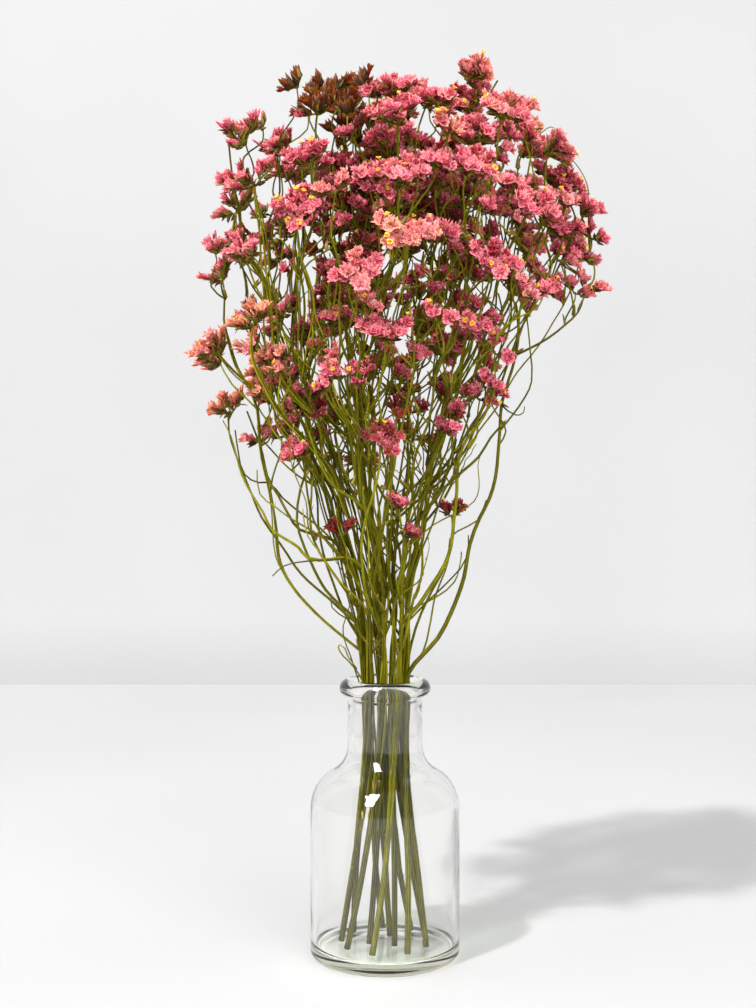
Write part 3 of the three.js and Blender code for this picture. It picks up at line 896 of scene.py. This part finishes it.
def makeBract():
    bm = newBmesh()
    rim = bm.verts.layers.float["rim"]
    bmesh.ops.create_uvsphere(bm, u_segments=bract["segments"], v_segments=bract["rings"], radius=1)
    for vert in bm.verts:
        share = (vert.co.z + 1) / 2
        narrow = (1 - share) ** 0.5 * 1.25
        x, y = vert.co.x * bract["width"] * narrow, vert.co.y * bract["thickness"] * narrow
        z = share * bract["length"]
        vert.co = (x, y + bract["bend"] * z * z - bract["cup"] * x * x, z)
        vert[rim] = share
    bmesh.ops.recalc_face_normals(bm, faces=bm.faces)
    return newMesh(bm, "bract")


shapeDice = random.Random(3)
shapes = {kind: [makeCalyx(kind, shapeDice) for _ in range(count)] for kind, count in calyx["made"].items()}
shapes["corolla"] = [makeCorolla(shapeDice) for _ in range(corolla["made"])]
shapes["bract"] = makeBract()
print("shapes: an open calyx has %d faces" % len(shapes["open"][0].polygons))

# Round tubes, made as bevelled curves: ribbed where they are thick, plain where they are thin
ribs = {"count": 5, "depth": 0.16, "forms": ("stem", "branch")}
plainSides = 6


def profileCurve(name, radii):
    data = bpy.data.curves.new(name, "CURVE")
    data.dimensions = "2D"
    spline = data.splines.new("POLY")
    spline.points.add(len(radii) - 1)
    for i, (point, radius) in enumerate(zip(spline.points, radii)):
        point.co = (*onCircle(i * math.tau / len(radii), radius), 1)
    spline.use_cyclic_u = True
    return addObject(name, data)


def removeCurve(curve):
    data = curve.data
    bpy.data.objects.remove(curve)
    bpy.data.curves.remove(data)


def tubeRadius(tube, i):
    form, points = tubes[tube["form"]], tube["points"]
    if "girth" in form:
        return lookUp(form["girth"], points[i].z)
    return mix(*tube.get("radii", form["drawn"]), i / (len(points) - 1))


# Every tube of a spray as a closed mesh, in the order of its parts
def tubeMeshes(parts, profiles):
    curves = []
    for tube in parts:
        data = bpy.data.curves.new("tube", "CURVE")
        data.dimensions = "3D"
        data.bevel_mode, data.use_fill_caps = "OBJECT", True
        data.bevel_object = profiles[0 if tube["form"] in ribs["forms"] else 1]
        data.resolution_u, data.twist_smooth = 2, 4
        knots = data.splines.new("BEZIER").bezier_points
        knots.add(len(tube["points"]) - 1)
        for i, (knot, place) in enumerate(zip(knots, tube["points"])):
            knot.co, knot.radius = place, tubeRadius(tube, i)
            knot.handle_left_type = knot.handle_right_type = "AUTO"
        curves.append(addObject("tube", data))
    graph = bpy.context.evaluated_depsgraph_get()
    meshes = [bpy.data.meshes.new_from_object(curve.evaluated_get(graph)) for curve in curves]
    for curve in curves:
        removeCurve(curve)
    return meshes


stemTones = {
    "stem": 0.22, "branch": 0.4, "twig": 0.5, "tendril": 0.6, "arch": 0.4, "climber": 0.42, "sprigTwig": 0.5,
    "curl": 0.58, "rachis": 0.4, "fibre": 0.45, "shoot": 0.62, "spread": (-0.32, 0.25),
}


def makeStems(parts, profiles, dice):
    bm = newBmesh(("tone",))
    for tube, mesh in zip(parts, tubeMeshes(parts, profiles)):
        addCopy(bm, mesh, Matrix(), stemTones[tube["form"]] + dice.uniform(*stemTones["spread"]))
        bpy.data.meshes.remove(mesh)
    bmesh.ops.remove_doubles(bm, verts=bm.verts, dist=0.0005)  # joins each tube to its end caps
    bmesh.ops.recalc_face_normals(bm, faces=bm.faces)
    return bm


# How the looks change over the bunch. A pair of numbers is where a change begins and where it is full
looks = {
    "dried": {"x": (-2, -8), "endX": (-52, -44), "z": (375, 385)},  # brown at the top left
    "left": (-25, -60),
    "tone": 0.6,
    "toneSpread": 0.42,
    "lowLeft": (0.36, (330, 285)),  # salmon
    "highLeft": (-0.12, (330, 350)),
    "lowRight": (-0.3, (290, 245)),
    "topRight": (0.13, (340, 390), (-10, 20)),
    "inside": (-0.3, (0.85, 0.4), (380, 350)),  # painted shade: darker deep inside the bunch, but not at the top
    "young": (0.7, (-30, -58), (240, 320)),
    "youngSpread": 0.12,
    "wide": ((-45, 0), (215, 300)),
}


def driedAt(point):
    x, z, dried = point.x, point.z, looks["dried"]
    return smoothStep(x, *dried["x"]) * smoothStep(x, *dried["endX"]) * smoothStep(z, *dried["z"])


# How a head looks at its place: its colour, how much of it is still in bud, and how much is wide open
def headTone(head):
    (x, y, z), index = head["point"], head["index"]
    left = smoothStep(x, *looks["left"])
    tone = looks["tone"] + looks["toneSpread"] * offset(index, 31)
    for place, side in (("lowLeft", left), ("highLeft", left), ("lowRight", 1 - left)):
        amount, rise = looks[place]
        tone += amount * side * smoothStep(z, *rise)
    amount, rise, across = looks["topRight"]
    tone += amount * smoothStep(z, *rise) * smoothStep(x, *across)
    edge = math.hypot(x, y / bunch["depth"]) / max(sheafAt(z)[0], 1)
    # painted shade on the heads deep inside the bunch
    amount, inwards, rise = looks["inside"]
    tone += amount * smoothStep(edge, *inwards) * smoothStep(z, *rise)
    amount, across, rise = looks["young"]
    young = amount * smoothStep(x, *across) * smoothStep(z, *rise) + looks["youngSpread"] * draw(index, 32)
    across, rise = looks["wide"]
    return tone, young, smoothStep(x, *across) * smoothStep(z, *rise)


# Adds a dry scale at a random turn about its length
def addScale(bms, base, along, size, tones, dice, longer=1):
    place = lay(base, along, anyTurn(dice), (size, size, size * longer))
    addCopy(bms["bracts"], shapes["bract"], place, dice.uniform(*tones))


# How the florets are set along a bank, what they are, and the scales among them
floret = {
    "placeJitter": 0.5,  # as a share of the way to the next one
    "tangentJitter": 0.15,
    "closed": (0.1, 0.8),  # the share that isn't open, and what drying adds to it
    "buds": 0.6,  # the share of those that are buds
    "halfOpen": 0.2,
    "smallHead": (0.88, 0.5),  # how narrow they are, and on heads of what size
    "toneJitter": 0.12,
    "darkest": 0.16,
    "driedTones": (0, 0.12),
    "noScale": (0.35, -0.35, 0.25),  # the share without a scale, and what youth and wide bloom add to it
    "scaleSize": (0.7, 1.1, 0.3),  # the last number is what youth adds
    "scaleLean": 0.35,
    "scaleTones": (0.1, 0.9),
    "under": (3, -1.5, 3, 5),  # scales under a bank, and what wide bloom, youth and drying add
    "underOut": (0.5, 1.1),
    "underUp": (0.3, 2),
    "underSize": (0.8, 1.3, 0.5),
}


# One head: its banks carry two ranks of funnels, each with a scale at its foot, and larger scales stand below
def dressHead(head, bms, dice):
    size, centre, upward = head["size"], head["point"], headAxes(head)[2].normalized()
    tone, young, bloom = headTone(head)
    facing = Vector((centre.x * bank["facingSide"], centre.y, 0)).normalized() * bank["facing"]
    facing *= smoothStep(abs(centre.y), 10, 45) * (1 - smoothStep(centre.z, 345, 385))
    for start, knee, end in plannedBanks[head["index"]]:
        reach = (knee - start).length + (end - knee).length
        florets = 2 * max(3, round(reach * (1 - bank["firstFloret"]) / bank["spacing"]) + 1)
        outward, dried = (end - centre).normalized(), driedAt(end)
        bankTone = tone + jitter(dice, bank["toneJitter"])
        closed, drying = floret["closed"]
        closed += drying * dried + young + jitter(dice, bank["youngJitter"])
        for i in range(florets):
            t = mix(bank["firstFloret"], 1, (i + jitter(dice, floret["placeJitter"])) / (florets - 1))
            t = min(max(t, 0), 1)
            low, high, share = (start, knee, t * 2) if t < 0.5 else (knee, end, t * 2 - 1)
            base, tangent = low.lerp(high, share), (high - low).normalized()
            across = tangent.cross(upward).normalized() * (1 if i % 2 else -1)
            along = upward + facing + outward * bank["outward"] + across * dice.uniform(*bank["fan"])
            along += tangent * (bank["tipTurn"] * t * t + jitter(dice, floret["tangentJitter"]))
            along.normalize()
            if dried > 0.5 and dice.random() < bank["driedLost"]:
                continue
            chance = dice.random()
            halfOpen = chance < closed + floret["halfOpen"]
            kind = "bud" if chance < closed * floret["buds"] else "half" if halfOpen else "open"
            if kind == "open" and dice.random() < calyx["wideShare"] * bloom:
                kind = "wide"
            narrow, small = floret["smallHead"]
            width = dice.uniform(*calyx["width"]) * mix(narrow, 1, smoothStep(size, small, 1))
            place = lay(base, along, anyTurn(dice), (width, width, dice.uniform(*calyx["height"])))
            shade = min(max(bankTone + jitter(dice, floret["toneJitter"]), floret["darkest"]), 1)
            shade = mix(shade, dice.uniform(*floret["driedTones"]), dried)
            addCopy(bms["calyces"], dice.choice(shapes[kind]), place, shade)
            if kind in ("open", "wide") and dice.random() < corolla["share"] * (1 - dried):
                addCopy(bms["corollas"], dice.choice(shapes["corolla"]), place, dice.random())
            share, youth, wide = floret["noScale"]
            if dice.random() < share + youth * young + wide * bloom:
                continue
            *sizes, youth = floret["scaleSize"]
            grow = dice.uniform(*sizes) * (1 + youth * young)
            clasp = (along + across * floret["scaleLean"]).normalized()
            addScale(bms, base + across * 0.5 + along * 0.3, clasp, grow, floret["scaleTones"], dice)
        # scales under each bank, which stand up among the dried florets
        count, wide, youth, drying = floret["under"]
        level, stand = floret["underUp"]
        *sizes, swell = floret["underSize"]
        for _ in range(round(count + wide * bloom + youth * young + drying * dried)):
            base = start.lerp(end, dice.random())
            leaning = outward * dice.uniform(*floret["underOut"]) + upward * (jitter(dice, level) + stand * dried)
            grow = dice.uniform(*sizes) * (1 + swell * dried)
            addScale(bms, base, leaning.normalized(), grow, (0, 0.6 * (1 - 0.8 * dried)), dice)


# A scale on the outside of each fork, and small dry buds along some of the bare twigs
def dressForks(parts, bms, dice):
    for tube in parts:
        if tube["form"] in ("stem", "rachis"):
            continue
        root, after = tube["points"][:2]
        along = (after - root).normalized()
        grow = dice.uniform(0.9, 1.4)
        addScale(bms, root - along * 0.5, along + Vector((0, 0, 0.4)), grow, (0.4, 1), dice, 1.2)
        if tube["form"] in ("curl", "tendril") and dice.random() < 0.4:
            for point in tube["points"][2::3]:
                bud = lay(point, anyPlace(dice) + Vector((0, 0, 1.6)), 0, (0.5, 0.5, 0.45))
                addCopy(bms["bracts"], shapes["bract"], bud, dice.uniform(0.5, 1))


# sRGB hex to linear
def paint(code):
    channels = [int(code[i : i + 2], 16) / 255 for i in (1, 3, 5)]
    return [c / 12.92 if c <= 0.04045 else ((c + 0.055) / 1.055) ** 2.4 for c in channels] + [1]


# Adds a node with its settings and returns one of its outputs. Sockets go by name or number and take a plain value
# or a link, and stops are the positions and hex colours of a ramp
def addNode(tree, kind, sockets=None, out=0, stops=(), **settings):
    node = tree.nodes.new("ShaderNode" + kind)
    for name, setting in settings.items():
        setattr(node, name, setting)
    for name, source in (sockets or {}).items():
        if hasattr(source, "node"):
            tree.links.new(source, node.inputs[name])
        else:
            node.inputs[name].default_value = source
    if stops:
        elements = node.color_ramp.elements
        while len(elements) < len(stops):
            elements.new(0.5)
        for element, (position, code) in zip(elements, stops):
            element.position, element.color = position, paint(code)
    return node.outputs[out] if node.outputs else node


# A new material, and addNode for its tree
def newMaterial(name):
    material = bpy.data.materials.new(name)
    material.use_nodes = True
    material.node_tree.nodes.clear()
    return material, partial(addNode, material.node_tree)


# A number that a pattern from 0 to 1 shifts up and down, by half an amount at most
def varied(add, number, pattern, amount):
    shift = add("Math", {0: pattern, 1: amount, 2: -amount / 2}, operation="MULTIPLY_ADD")
    return add("Math", {0: number, 1: shift}, operation="ADD")


# Lays marks over a colour. Each grows to its strength while a number goes from one value to another, and a gate
# may hold it back
def marked(add, colour, marks):
    for number, low, high, strength, code, gate in marks:
        mask = add("MapRange", {"Value": number, "From Min": low, "From Max": high, "To Max": strength})
        if gate:
            mask = add("Math", {0: mask, 1: gate}, operation="MULTIPLY")
        colour = add("Mix", {0: mask, 6: colour, 7: paint(code)}, 2, data_type="RGBA")
    return colour


# A dull dry surface: a bump, a roughness that a pattern varies, and a share of light that comes through thin ones
def drySurface(add, colour, height, bump, pattern, roughness, gloss, share=0, through=None):
    normal = add("Bump", {"Height": height, "Strength": bump[0], "Distance": bump[1]})
    rough = add("MapRange", {"Value": pattern, "To Min": roughness[0], "To Max": roughness[1]})
    shader = add("BsdfPrincipled", {
        "Base Color": colour, "Roughness": rough, "Normal": normal, "IOR": 1.45, "Specular IOR Level": gloss,
    })
    if share:
        shader = add("MixShader", {0: share, 1: shader, 2: add("BsdfTranslucent", {"Color": through})})
    add("OutputMaterial", {"Surface": shader})


# Dried statice stem: green bark shrunk onto its ribs, with a painted highlight along each ridge, painted shade in
# each groove, and browner patches
def ribbedStem():
    material, add = newMaterial("driedStaticeStem_airDriedRibbed")
    tone = add("Attribute", out="Fac", attribute_name="tone")
    place = add("TexCoord", out="Object")
    # stretched patches, about 8 mm long and 3 mm wide
    stretched = add("Mapping", {"Vector": place, "Scale": (330, 330, 120)})
    patches = add("TexNoise", {"Vector": stretched, "Scale": 1, "Detail": 3})
    colour = add("ValToRGB", {"Fac": varied(add, tone, patches, 0.9)}, stops=[
        (0.0, "#2c2900"), (0.3, "#4a4800"), (0.6, "#706e00"), (0.85, "#9a9414"), (1.0, "#a28826"),
    ])
    around = add("SeparateXYZ", {0: add("UVMap", uv_map="UVMap")}, "Y")
    turned = add("Math", {0: around, 1: math.tau * ribs["count"] * 2}, operation="MULTIPLY")
    ridge = add("Math", {0: turned}, operation="SINE")
    # painted highlight on the ridges and painted shade in the grooves
    colour = marked(add, colour, [(ridge, 0.2, 1, 0.45, "#b2ab30", None), (ridge, -0.1, -1, 0.75, "#262300", None)])
    fine = add("TexNoise", {"Vector": place, "Scale": 1400, "Detail": 2})  # 0.7 mm
    height = add("Math", {0: fine, 1: 0.35, 2: ridge}, operation="MULTIPLY_ADD")
    drySurface(add, colour, height, (0.5, 0.0002), fine, (0.5, 0.8), 0.05)
    return material


# Dried statice calyx: paper-thin and pleated, so light comes through it and its veins show darker. A painted
# highlight makes its rim paler, and painted shade darkens it towards the throat
def paperyCalyx():
    material, add = newMaterial("driedStaticeCalyx_papery")
    tone, rim, vein = [add("Attribute", out="Fac", attribute_name=name) for name in ("tone", "rim", "vein")]
    place = add("TexCoord", out="Object")
    mottle = add("TexNoise", {"Vector": place, "Scale": 420, "Detail": 3})  # 2 mm
    shade = varied(add, tone, mottle, 0.3)
    limb = add("ValToRGB", {"Fac": shade}, stops=[
        (0.0, "#8e5c1c"), (0.13, "#76360e"), (0.3, "#c02c52"), (0.5, "#f26286"), (0.68, "#fa909c"), (0.86, "#fcaa92"),
        (1.0, "#fcba7a"),
    ])
    tube = add("ValToRGB", {"Fac": rim}, stops=[(0.0, "#56541c"), (0.2, "#7e3c28"), (0.45, "#9c2c44")])
    up = add("MapRange", {"Value": rim, "From Min": 0.15, "From Max": 0.55})
    colour = add("Mix", {0: up, 6: tube, 7: limb}, 2, data_type="RGBA")
    live = add("MapRange", {"Value": shade, "From Min": 0.12, "From Max": 0.3})  # not dried brown
    turned = add("Math", {0: vein, 1: math.tau * 2}, operation="MULTIPLY")
    wave = add("Math", {0: turned}, operation="COSINE")
    flecks = add("TexNoise", {"Vector": place, "Scale": 1250, "Detail": 1})  # 0.8 mm
    colour = marked(add, colour, [
        # painted highlight, paler at the rim
        (rim, 0.8, 1, 0.4, "#ffd8cc", live),
        (rim, 0.9, 0.62, 0.45, "#9c1828", None),  # painted shade, darker towards the throat
        (wave, 0.1, 1, 0.3, "#c83250", live),  # veins run up each fold and each groove, two to a face
        (flecks, 0.52, 0.66, 0.6, "#a00e20", live),  # dark crimson flecks
        (flecks, 0.46, 0.34, 0.5, "#ffd0c8", live),  # pale flecks
    ])
    # creases about 0.7 mm apart, coarser than the real ones so that they show
    creases = add("TexNoise", {"Vector": place, "Scale": 1500, "Detail": 2})
    # light that comes through is redder
    deeper = add("Mix", {0: 1, 6: colour, 7: paint("#f59a9a")}, 2, data_type="RGBA", blend_type="MULTIPLY")
    drySurface(add, colour, creases, (0.6, 0.0003), mottle, (0.55, 0.85), 0.04, 0.4, deeper)
    return material


# Dried statice corolla: thin yellow petals shrunk into soft crinkles, deeper in the throat
def crinkledCorolla():
    material, add = newMaterial("driedStaticeCorolla_crinkled")
    rim = add("Attribute", out="Fac", attribute_name="rim")
    crinkle = add("TexNoise", {"Vector": add("TexCoord", out="Object"), "Scale": 1100, "Detail": 2})  # 0.9 mm
    stops = [(0.0, "#a8641a"), (0.4, "#e39a1c"), (0.8, "#f7c832"), (1.0, "#fbe07a")]
    colour = add("ValToRGB", {"Fac": varied(add, rim, crinkle, 0.5)}, stops=stops)
    drySurface(add, colour, crinkle, (0.5, 0.0003), crinkle, (0.6, 0.85), 0.3, 0.25, colour)
    return material


# Dried scale leaf: stiff green-brown bract, mottled, and browner to its tip
def dryScale():
    material, add = newMaterial("driedStaticeBract_leathery")
    tone, rim = [add("Attribute", out="Fac", attribute_name=name) for name in ("tone", "rim")]
    patches = add("TexNoise", {"Vector": add("TexCoord", out="Object"), "Scale": 700, "Detail": 2})  # 1.4 mm
    stops = [(0.0, "#3a2413"), (0.35, "#5b4a1c"), (0.7, "#7c7a2c"), (1.0, "#8f7a3a")]
    leaf = add("ValToRGB", {"Fac": varied(add, tone, patches, 0.4)}, stops=stops)
    colour = marked(add, leaf, [(rim, 0.55, 1, 0.7, "#8e4a2c", None)])
    drySurface(add, colour, patches, (0.4, 0.0002), patches, (0.5, 0.8), 0.15)
    return material


# Soda-lime glass, blown in a mould: clear, faintly wavy, and green where it is thick
def blownGlass():
    material, add = newMaterial("sodaLimeGlass_mouldBlown")
    waves = add("TexNoise", {"Vector": add("TexCoord", out="Object"), "Scale": 45, "Detail": 1})  # 22 mm
    bump = add("Bump", {"Height": waves, "Strength": 0.25, "Distance": 0.0006})
    glass = add("BsdfPrincipled", {
        "Base Color": paint("#ffffff"), "Transmission Weight": 1, "Roughness": 0.0, "IOR": 1.5, "Normal": bump,
    })
    clear = add("BsdfTransparent", {"Color": paint("#d2d6d0")})  # so its shadow is plain and soft
    both = add("MixShader", {0: add("LightPath", out="Is Shadow Ray"), 1: glass, 2: clear})
    inside = add("VolumeAbsorption", {"Color": paint("#e0dfc8"), "Density": 20})
    add("OutputMaterial", {"Surface": both, "Volume": inside})
    return material


materials = {
    "stems": ribbedStem(),
    "calyces": paperyCalyx(),
    "corollas": crinkledCorolla(),
    "bracts": dryScale(),
    "vase": blownGlass(),
}
slots = {"stems": "dried_stem", "calyces": "pink_calyx", "corollas": "yellow_corolla", "bracts": "green_bract"}
print("materials: %d" % len(materials))


def dressSpray(spray, profiles):
    dice = random.Random(100 + spray)
    node = "spray_%02d" % (spray + 1)
    bms = {"stems": makeStems(sprayParts[spray], profiles, dice)}
    bms.update((kind, newBmesh()) for kind in ("calyces", "corollas", "bracts"))
    for head in heads + sprigs:
        if head["spray"] == spray:
            dressHead(head, bms, dice)
    dressForks(sprayParts[spray], bms, dice)
    for kind, bm in bms.items():
        piece = finishPiece("%s_%s" % (node, kind), bm, materials[kind], slots[kind], node)
        triangleCounts.append(sum(len(face.vertices) - 2 for face in piece.data.polygons))


triangleCounts = []
ribbedRadii = [1 if i % 2 else 1 - ribs["depth"] for i in range(ribs["count"] * 2)]
profiles = [profileCurve("ribbedProfile", ribbedRadii), profileCurve("plainProfile", [1] * plainSides)]
for spray in range(len(stems)):
    dressSpray(spray, profiles)
for profile in profiles:
    removeCurve(profile)
print("sprays: %d triangles, largest piece %d" % (sum(triangleCounts), max(triangleCounts)))

# The bottle vase, in millimetres
vase = {
    "height": 129,
    "bodyRadius": 35,
    "wall": 2.4,
    "floor": 5,
    "kick": 0.9,  # the underside is pushed up in the middle, so that it stands on a ring
    "ring": 9,  # how wide that ring is, with its heel
    "heel": 2.8,
    "shoulderBase": 69,
    "shoulderRadius": 19,
    "shoulderTurn": math.radians(62),
    "neckRadius": 17.6,
    "lipRadius": 21.4,
    "lipHeight": 8.6,
    "steps": 128,
}


def arc(x, z, radius, start, end, steps):
    turns = [mix(start, end, i / steps) for i in range(steps + 1)]
    return [(x + radius * math.cos(turn), z + radius * math.sin(turn)) for turn in turns]


# The line from the heel to the neck, at a distance inside the outer surface
def wallLine(inset):
    v, turn = vase, vase["shoulderTurn"]
    bottom = v["floor"] if inset else 0
    centre = v["bodyRadius"] - v["shoulderRadius"]
    fillet = (centre + v["shoulderRadius"] * math.cos(turn) - v["neckRadius"]) / (1 - math.cos(turn))
    filletHeight = v["shoulderBase"] + (v["shoulderRadius"] + fillet) * math.sin(turn)
    line = arc(v["bodyRadius"] - inset - v["heel"], bottom + v["heel"], v["heel"], -math.pi / 2, 0, 10)
    line += arc(centre, v["shoulderBase"], v["shoulderRadius"] - inset, 0, turn, 18)
    return line + arc(v["neckRadius"] + fillet, filletHeight, fillet + inset, math.pi + turn, math.pi, 12)


# Half its section is turned about the upright axis
def makeVase():
    v, half = vase, vase["lipHeight"] / 2
    outside = [(0, v["kick"]), (v["bodyRadius"] - v["ring"], v["kick"] * 0.8)] + wallLine(0)
    outside.append((v["neckRadius"], v["height"] - v["lipHeight"]))
    outside += arc(v["lipRadius"] - half, v["height"] - half, half, -math.pi / 2.6, math.pi / 2, 14)
    inside = [(0, v["floor"])] + wallLine(v["wall"]) + [(v["neckRadius"] - v["wall"], v["height"] - 1.6)]
    bm = bmesh.new()
    line = [bm.verts.new((x, 0, z)) for x, z in outside + inside[::-1]]
    edges = [bm.edges.new(pair) for pair in zip(line, line[1:])]
    bmesh.ops.spin(
        bm, geom=line + edges, cent=(0, 0, 0), axis=(0, 0, 1), dvec=(0, 0, 0), angle=math.tau,
        steps=v["steps"], use_merge=True, use_duplicate=False,
    )
    bmesh.ops.remove_doubles(bm, verts=bm.verts, dist=0.001)
    bmesh.ops.recalc_face_normals(bm, faces=bm.faces)
    finishPiece("bottle_vase", bm, materials["vase"], "clear_glass", "vase")


makeVase()
print("vase: turned and smoothed")

# Camera, table, wall and lights, in metres
studio = {
    "camera": (-0.0033, -0.65, 0.218),
    "lens": 49.4,
    "shiftY": -15 / 1008,
    "table": {"width": 6.0, "front": -2.5, "back": 0.896, "thickness": 0.04, "edge": 0.004},
    "wall": {"distance": 1.02, "width": 8.0, "foot": -1, "height": 4.0},
    # painted shade on the wall by height: darker at its foot, where it meets the table, and a little darker towards
    # the top, where the key lamp lights it more
    "wallPaintedShade": [(0.0, "#f2f2f2"), (0.06, "#ffffff"), (0.2, "#fcfcfc"), (0.45, "#f9f9f9"), (0.8, "#f6f6f6")],
    # place, width, height and power of each lamp
    "lamps": {
        "key": ((-2.2, -2.38, 4.4), 0.3, 0.3, 340),
        "fill": ((1.2, -2.0, 0.9), 1.6, 1.6, 36),
        "glare": ((-0.5, -0.95, 1.28), 0.4, 1.0, 36),  # seen only as the bright patch on the vase's shoulder
    },
    "aim": (0, 0, 0.22),
    "world": 1.64,
    "worldInGloss": 0.35,  # the room is darker than its light, so the glass doesn't veil the stems in it
}


# Painted board, smooth and plain, with a faint cloudiness. Painted shade, where it is given, goes by height from the
# floor up to a metre
def plainMaterial(name, low, high, roughness, paintedShade=None):
    material, add = newMaterial(name)
    place = add("TexCoord", out="Object")
    cloud = add("TexNoise", {"Vector": place, "Scale": 3, "Detail": 1})
    colour = add("ValToRGB", {"Fac": cloud}, stops=[(0.3, low), (0.7, high)])
    if paintedShade:
        # painted shade, multiplied into the colour by height
        shade = add("ValToRGB", {"Fac": add("SeparateXYZ", {0: place}, "Z")}, stops=paintedShade)
        colour = add("Mix", {0: 1, 6: colour, 7: shade}, 2, data_type="RGBA", blend_type="MULTIPLY")
    add("OutputMaterial", {"Surface": add("BsdfPrincipled", {"Base Color": colour, "Roughness": roughness})})
    return material


def addStage(name, bm, material):
    board = addObject(name, newMesh(bm, name, smooth=False))
    board.data.materials.append(material)


def buildStudio():
    table, wall = studio["table"], studio["wall"]
    bm = bmesh.new()
    bmesh.ops.create_cube(bm, size=1)
    bmesh.ops.scale(bm, vec=(table["width"], table["back"] - table["front"], table["thickness"]), verts=bm.verts)
    middle = (0, (table["back"] + table["front"]) / 2, -table["thickness"] / 2)
    bmesh.ops.translate(bm, vec=middle, verts=bm.verts)
    bmesh.ops.bevel(
        bm, geom=bm.edges, offset=table["edge"], offset_type="OFFSET", affect="EDGES", segments=3, profile=0.5,
        material=-1, clamp_overlap=True,
    )
    addStage("table", bm, plainMaterial("whiteTable_satinPaint", "#a9a9a9", "#adadad", 0.6))
    far, half, foot, high = wall["distance"], wall["width"] / 2, wall["foot"], wall["height"]
    bm = bmesh.new()
    places = [(-half, far, foot), (half, far, foot), (half, far, high), (-half, far, high)]
    bm.faces.new([bm.verts.new(place) for place in places])
    addStage("wall", bm, plainMaterial("greyWall_matPaint", "#a7a7a7", "#ababab", 0.9, studio["wallPaintedShade"]))

    camera = addObject("camera", bpy.data.cameras.new("camera"))
    camera.data.lens = studio["lens"]
    camera.data.sensor_width = 36
    camera.data.shift_y = studio["shiftY"]
    camera.location = studio["camera"]
    camera.rotation_euler = (math.pi / 2, 0, 0)
    scene.camera = camera

    for name, (place, width, height, power) in studio["lamps"].items():
        light = bpy.data.lights.new(name, "AREA")
        light.shape = "RECTANGLE"
        light.size, light.size_y, light.energy = width, height, power
        lamp = addObject(name, light)
        lamp.location = place
        lamp.rotation_euler = (Vector(studio["aim"]) - lamp.location).to_track_quat("-Z", "Y").to_euler()
        lamp.visible_glossy = name != "fill"
        lamp.visible_transmission = False  # the glass lets its light through as a plain soft shadow
        lamp.visible_diffuse = name != "glare"

    world = bpy.data.worlds.new("studio")
    world.use_nodes = True
    tree = world.node_tree
    gloss = addNode(tree, "LightPath", out="Is Glossy Ray")
    levels = {"To Min": studio["world"], "To Max": studio["worldInGloss"]}
    strength = addNode(tree, "MapRange", {"Value": gloss, **levels})
    background = tree.nodes["Background"]
    background.inputs["Color"].default_value = paint("#f8f8f9")
    tree.links.new(strength, background.inputs["Strength"])
    scene.world = world
    scene.view_settings.view_transform = "Standard"


buildStudio()
print("studio: camera, table, wall and lights")
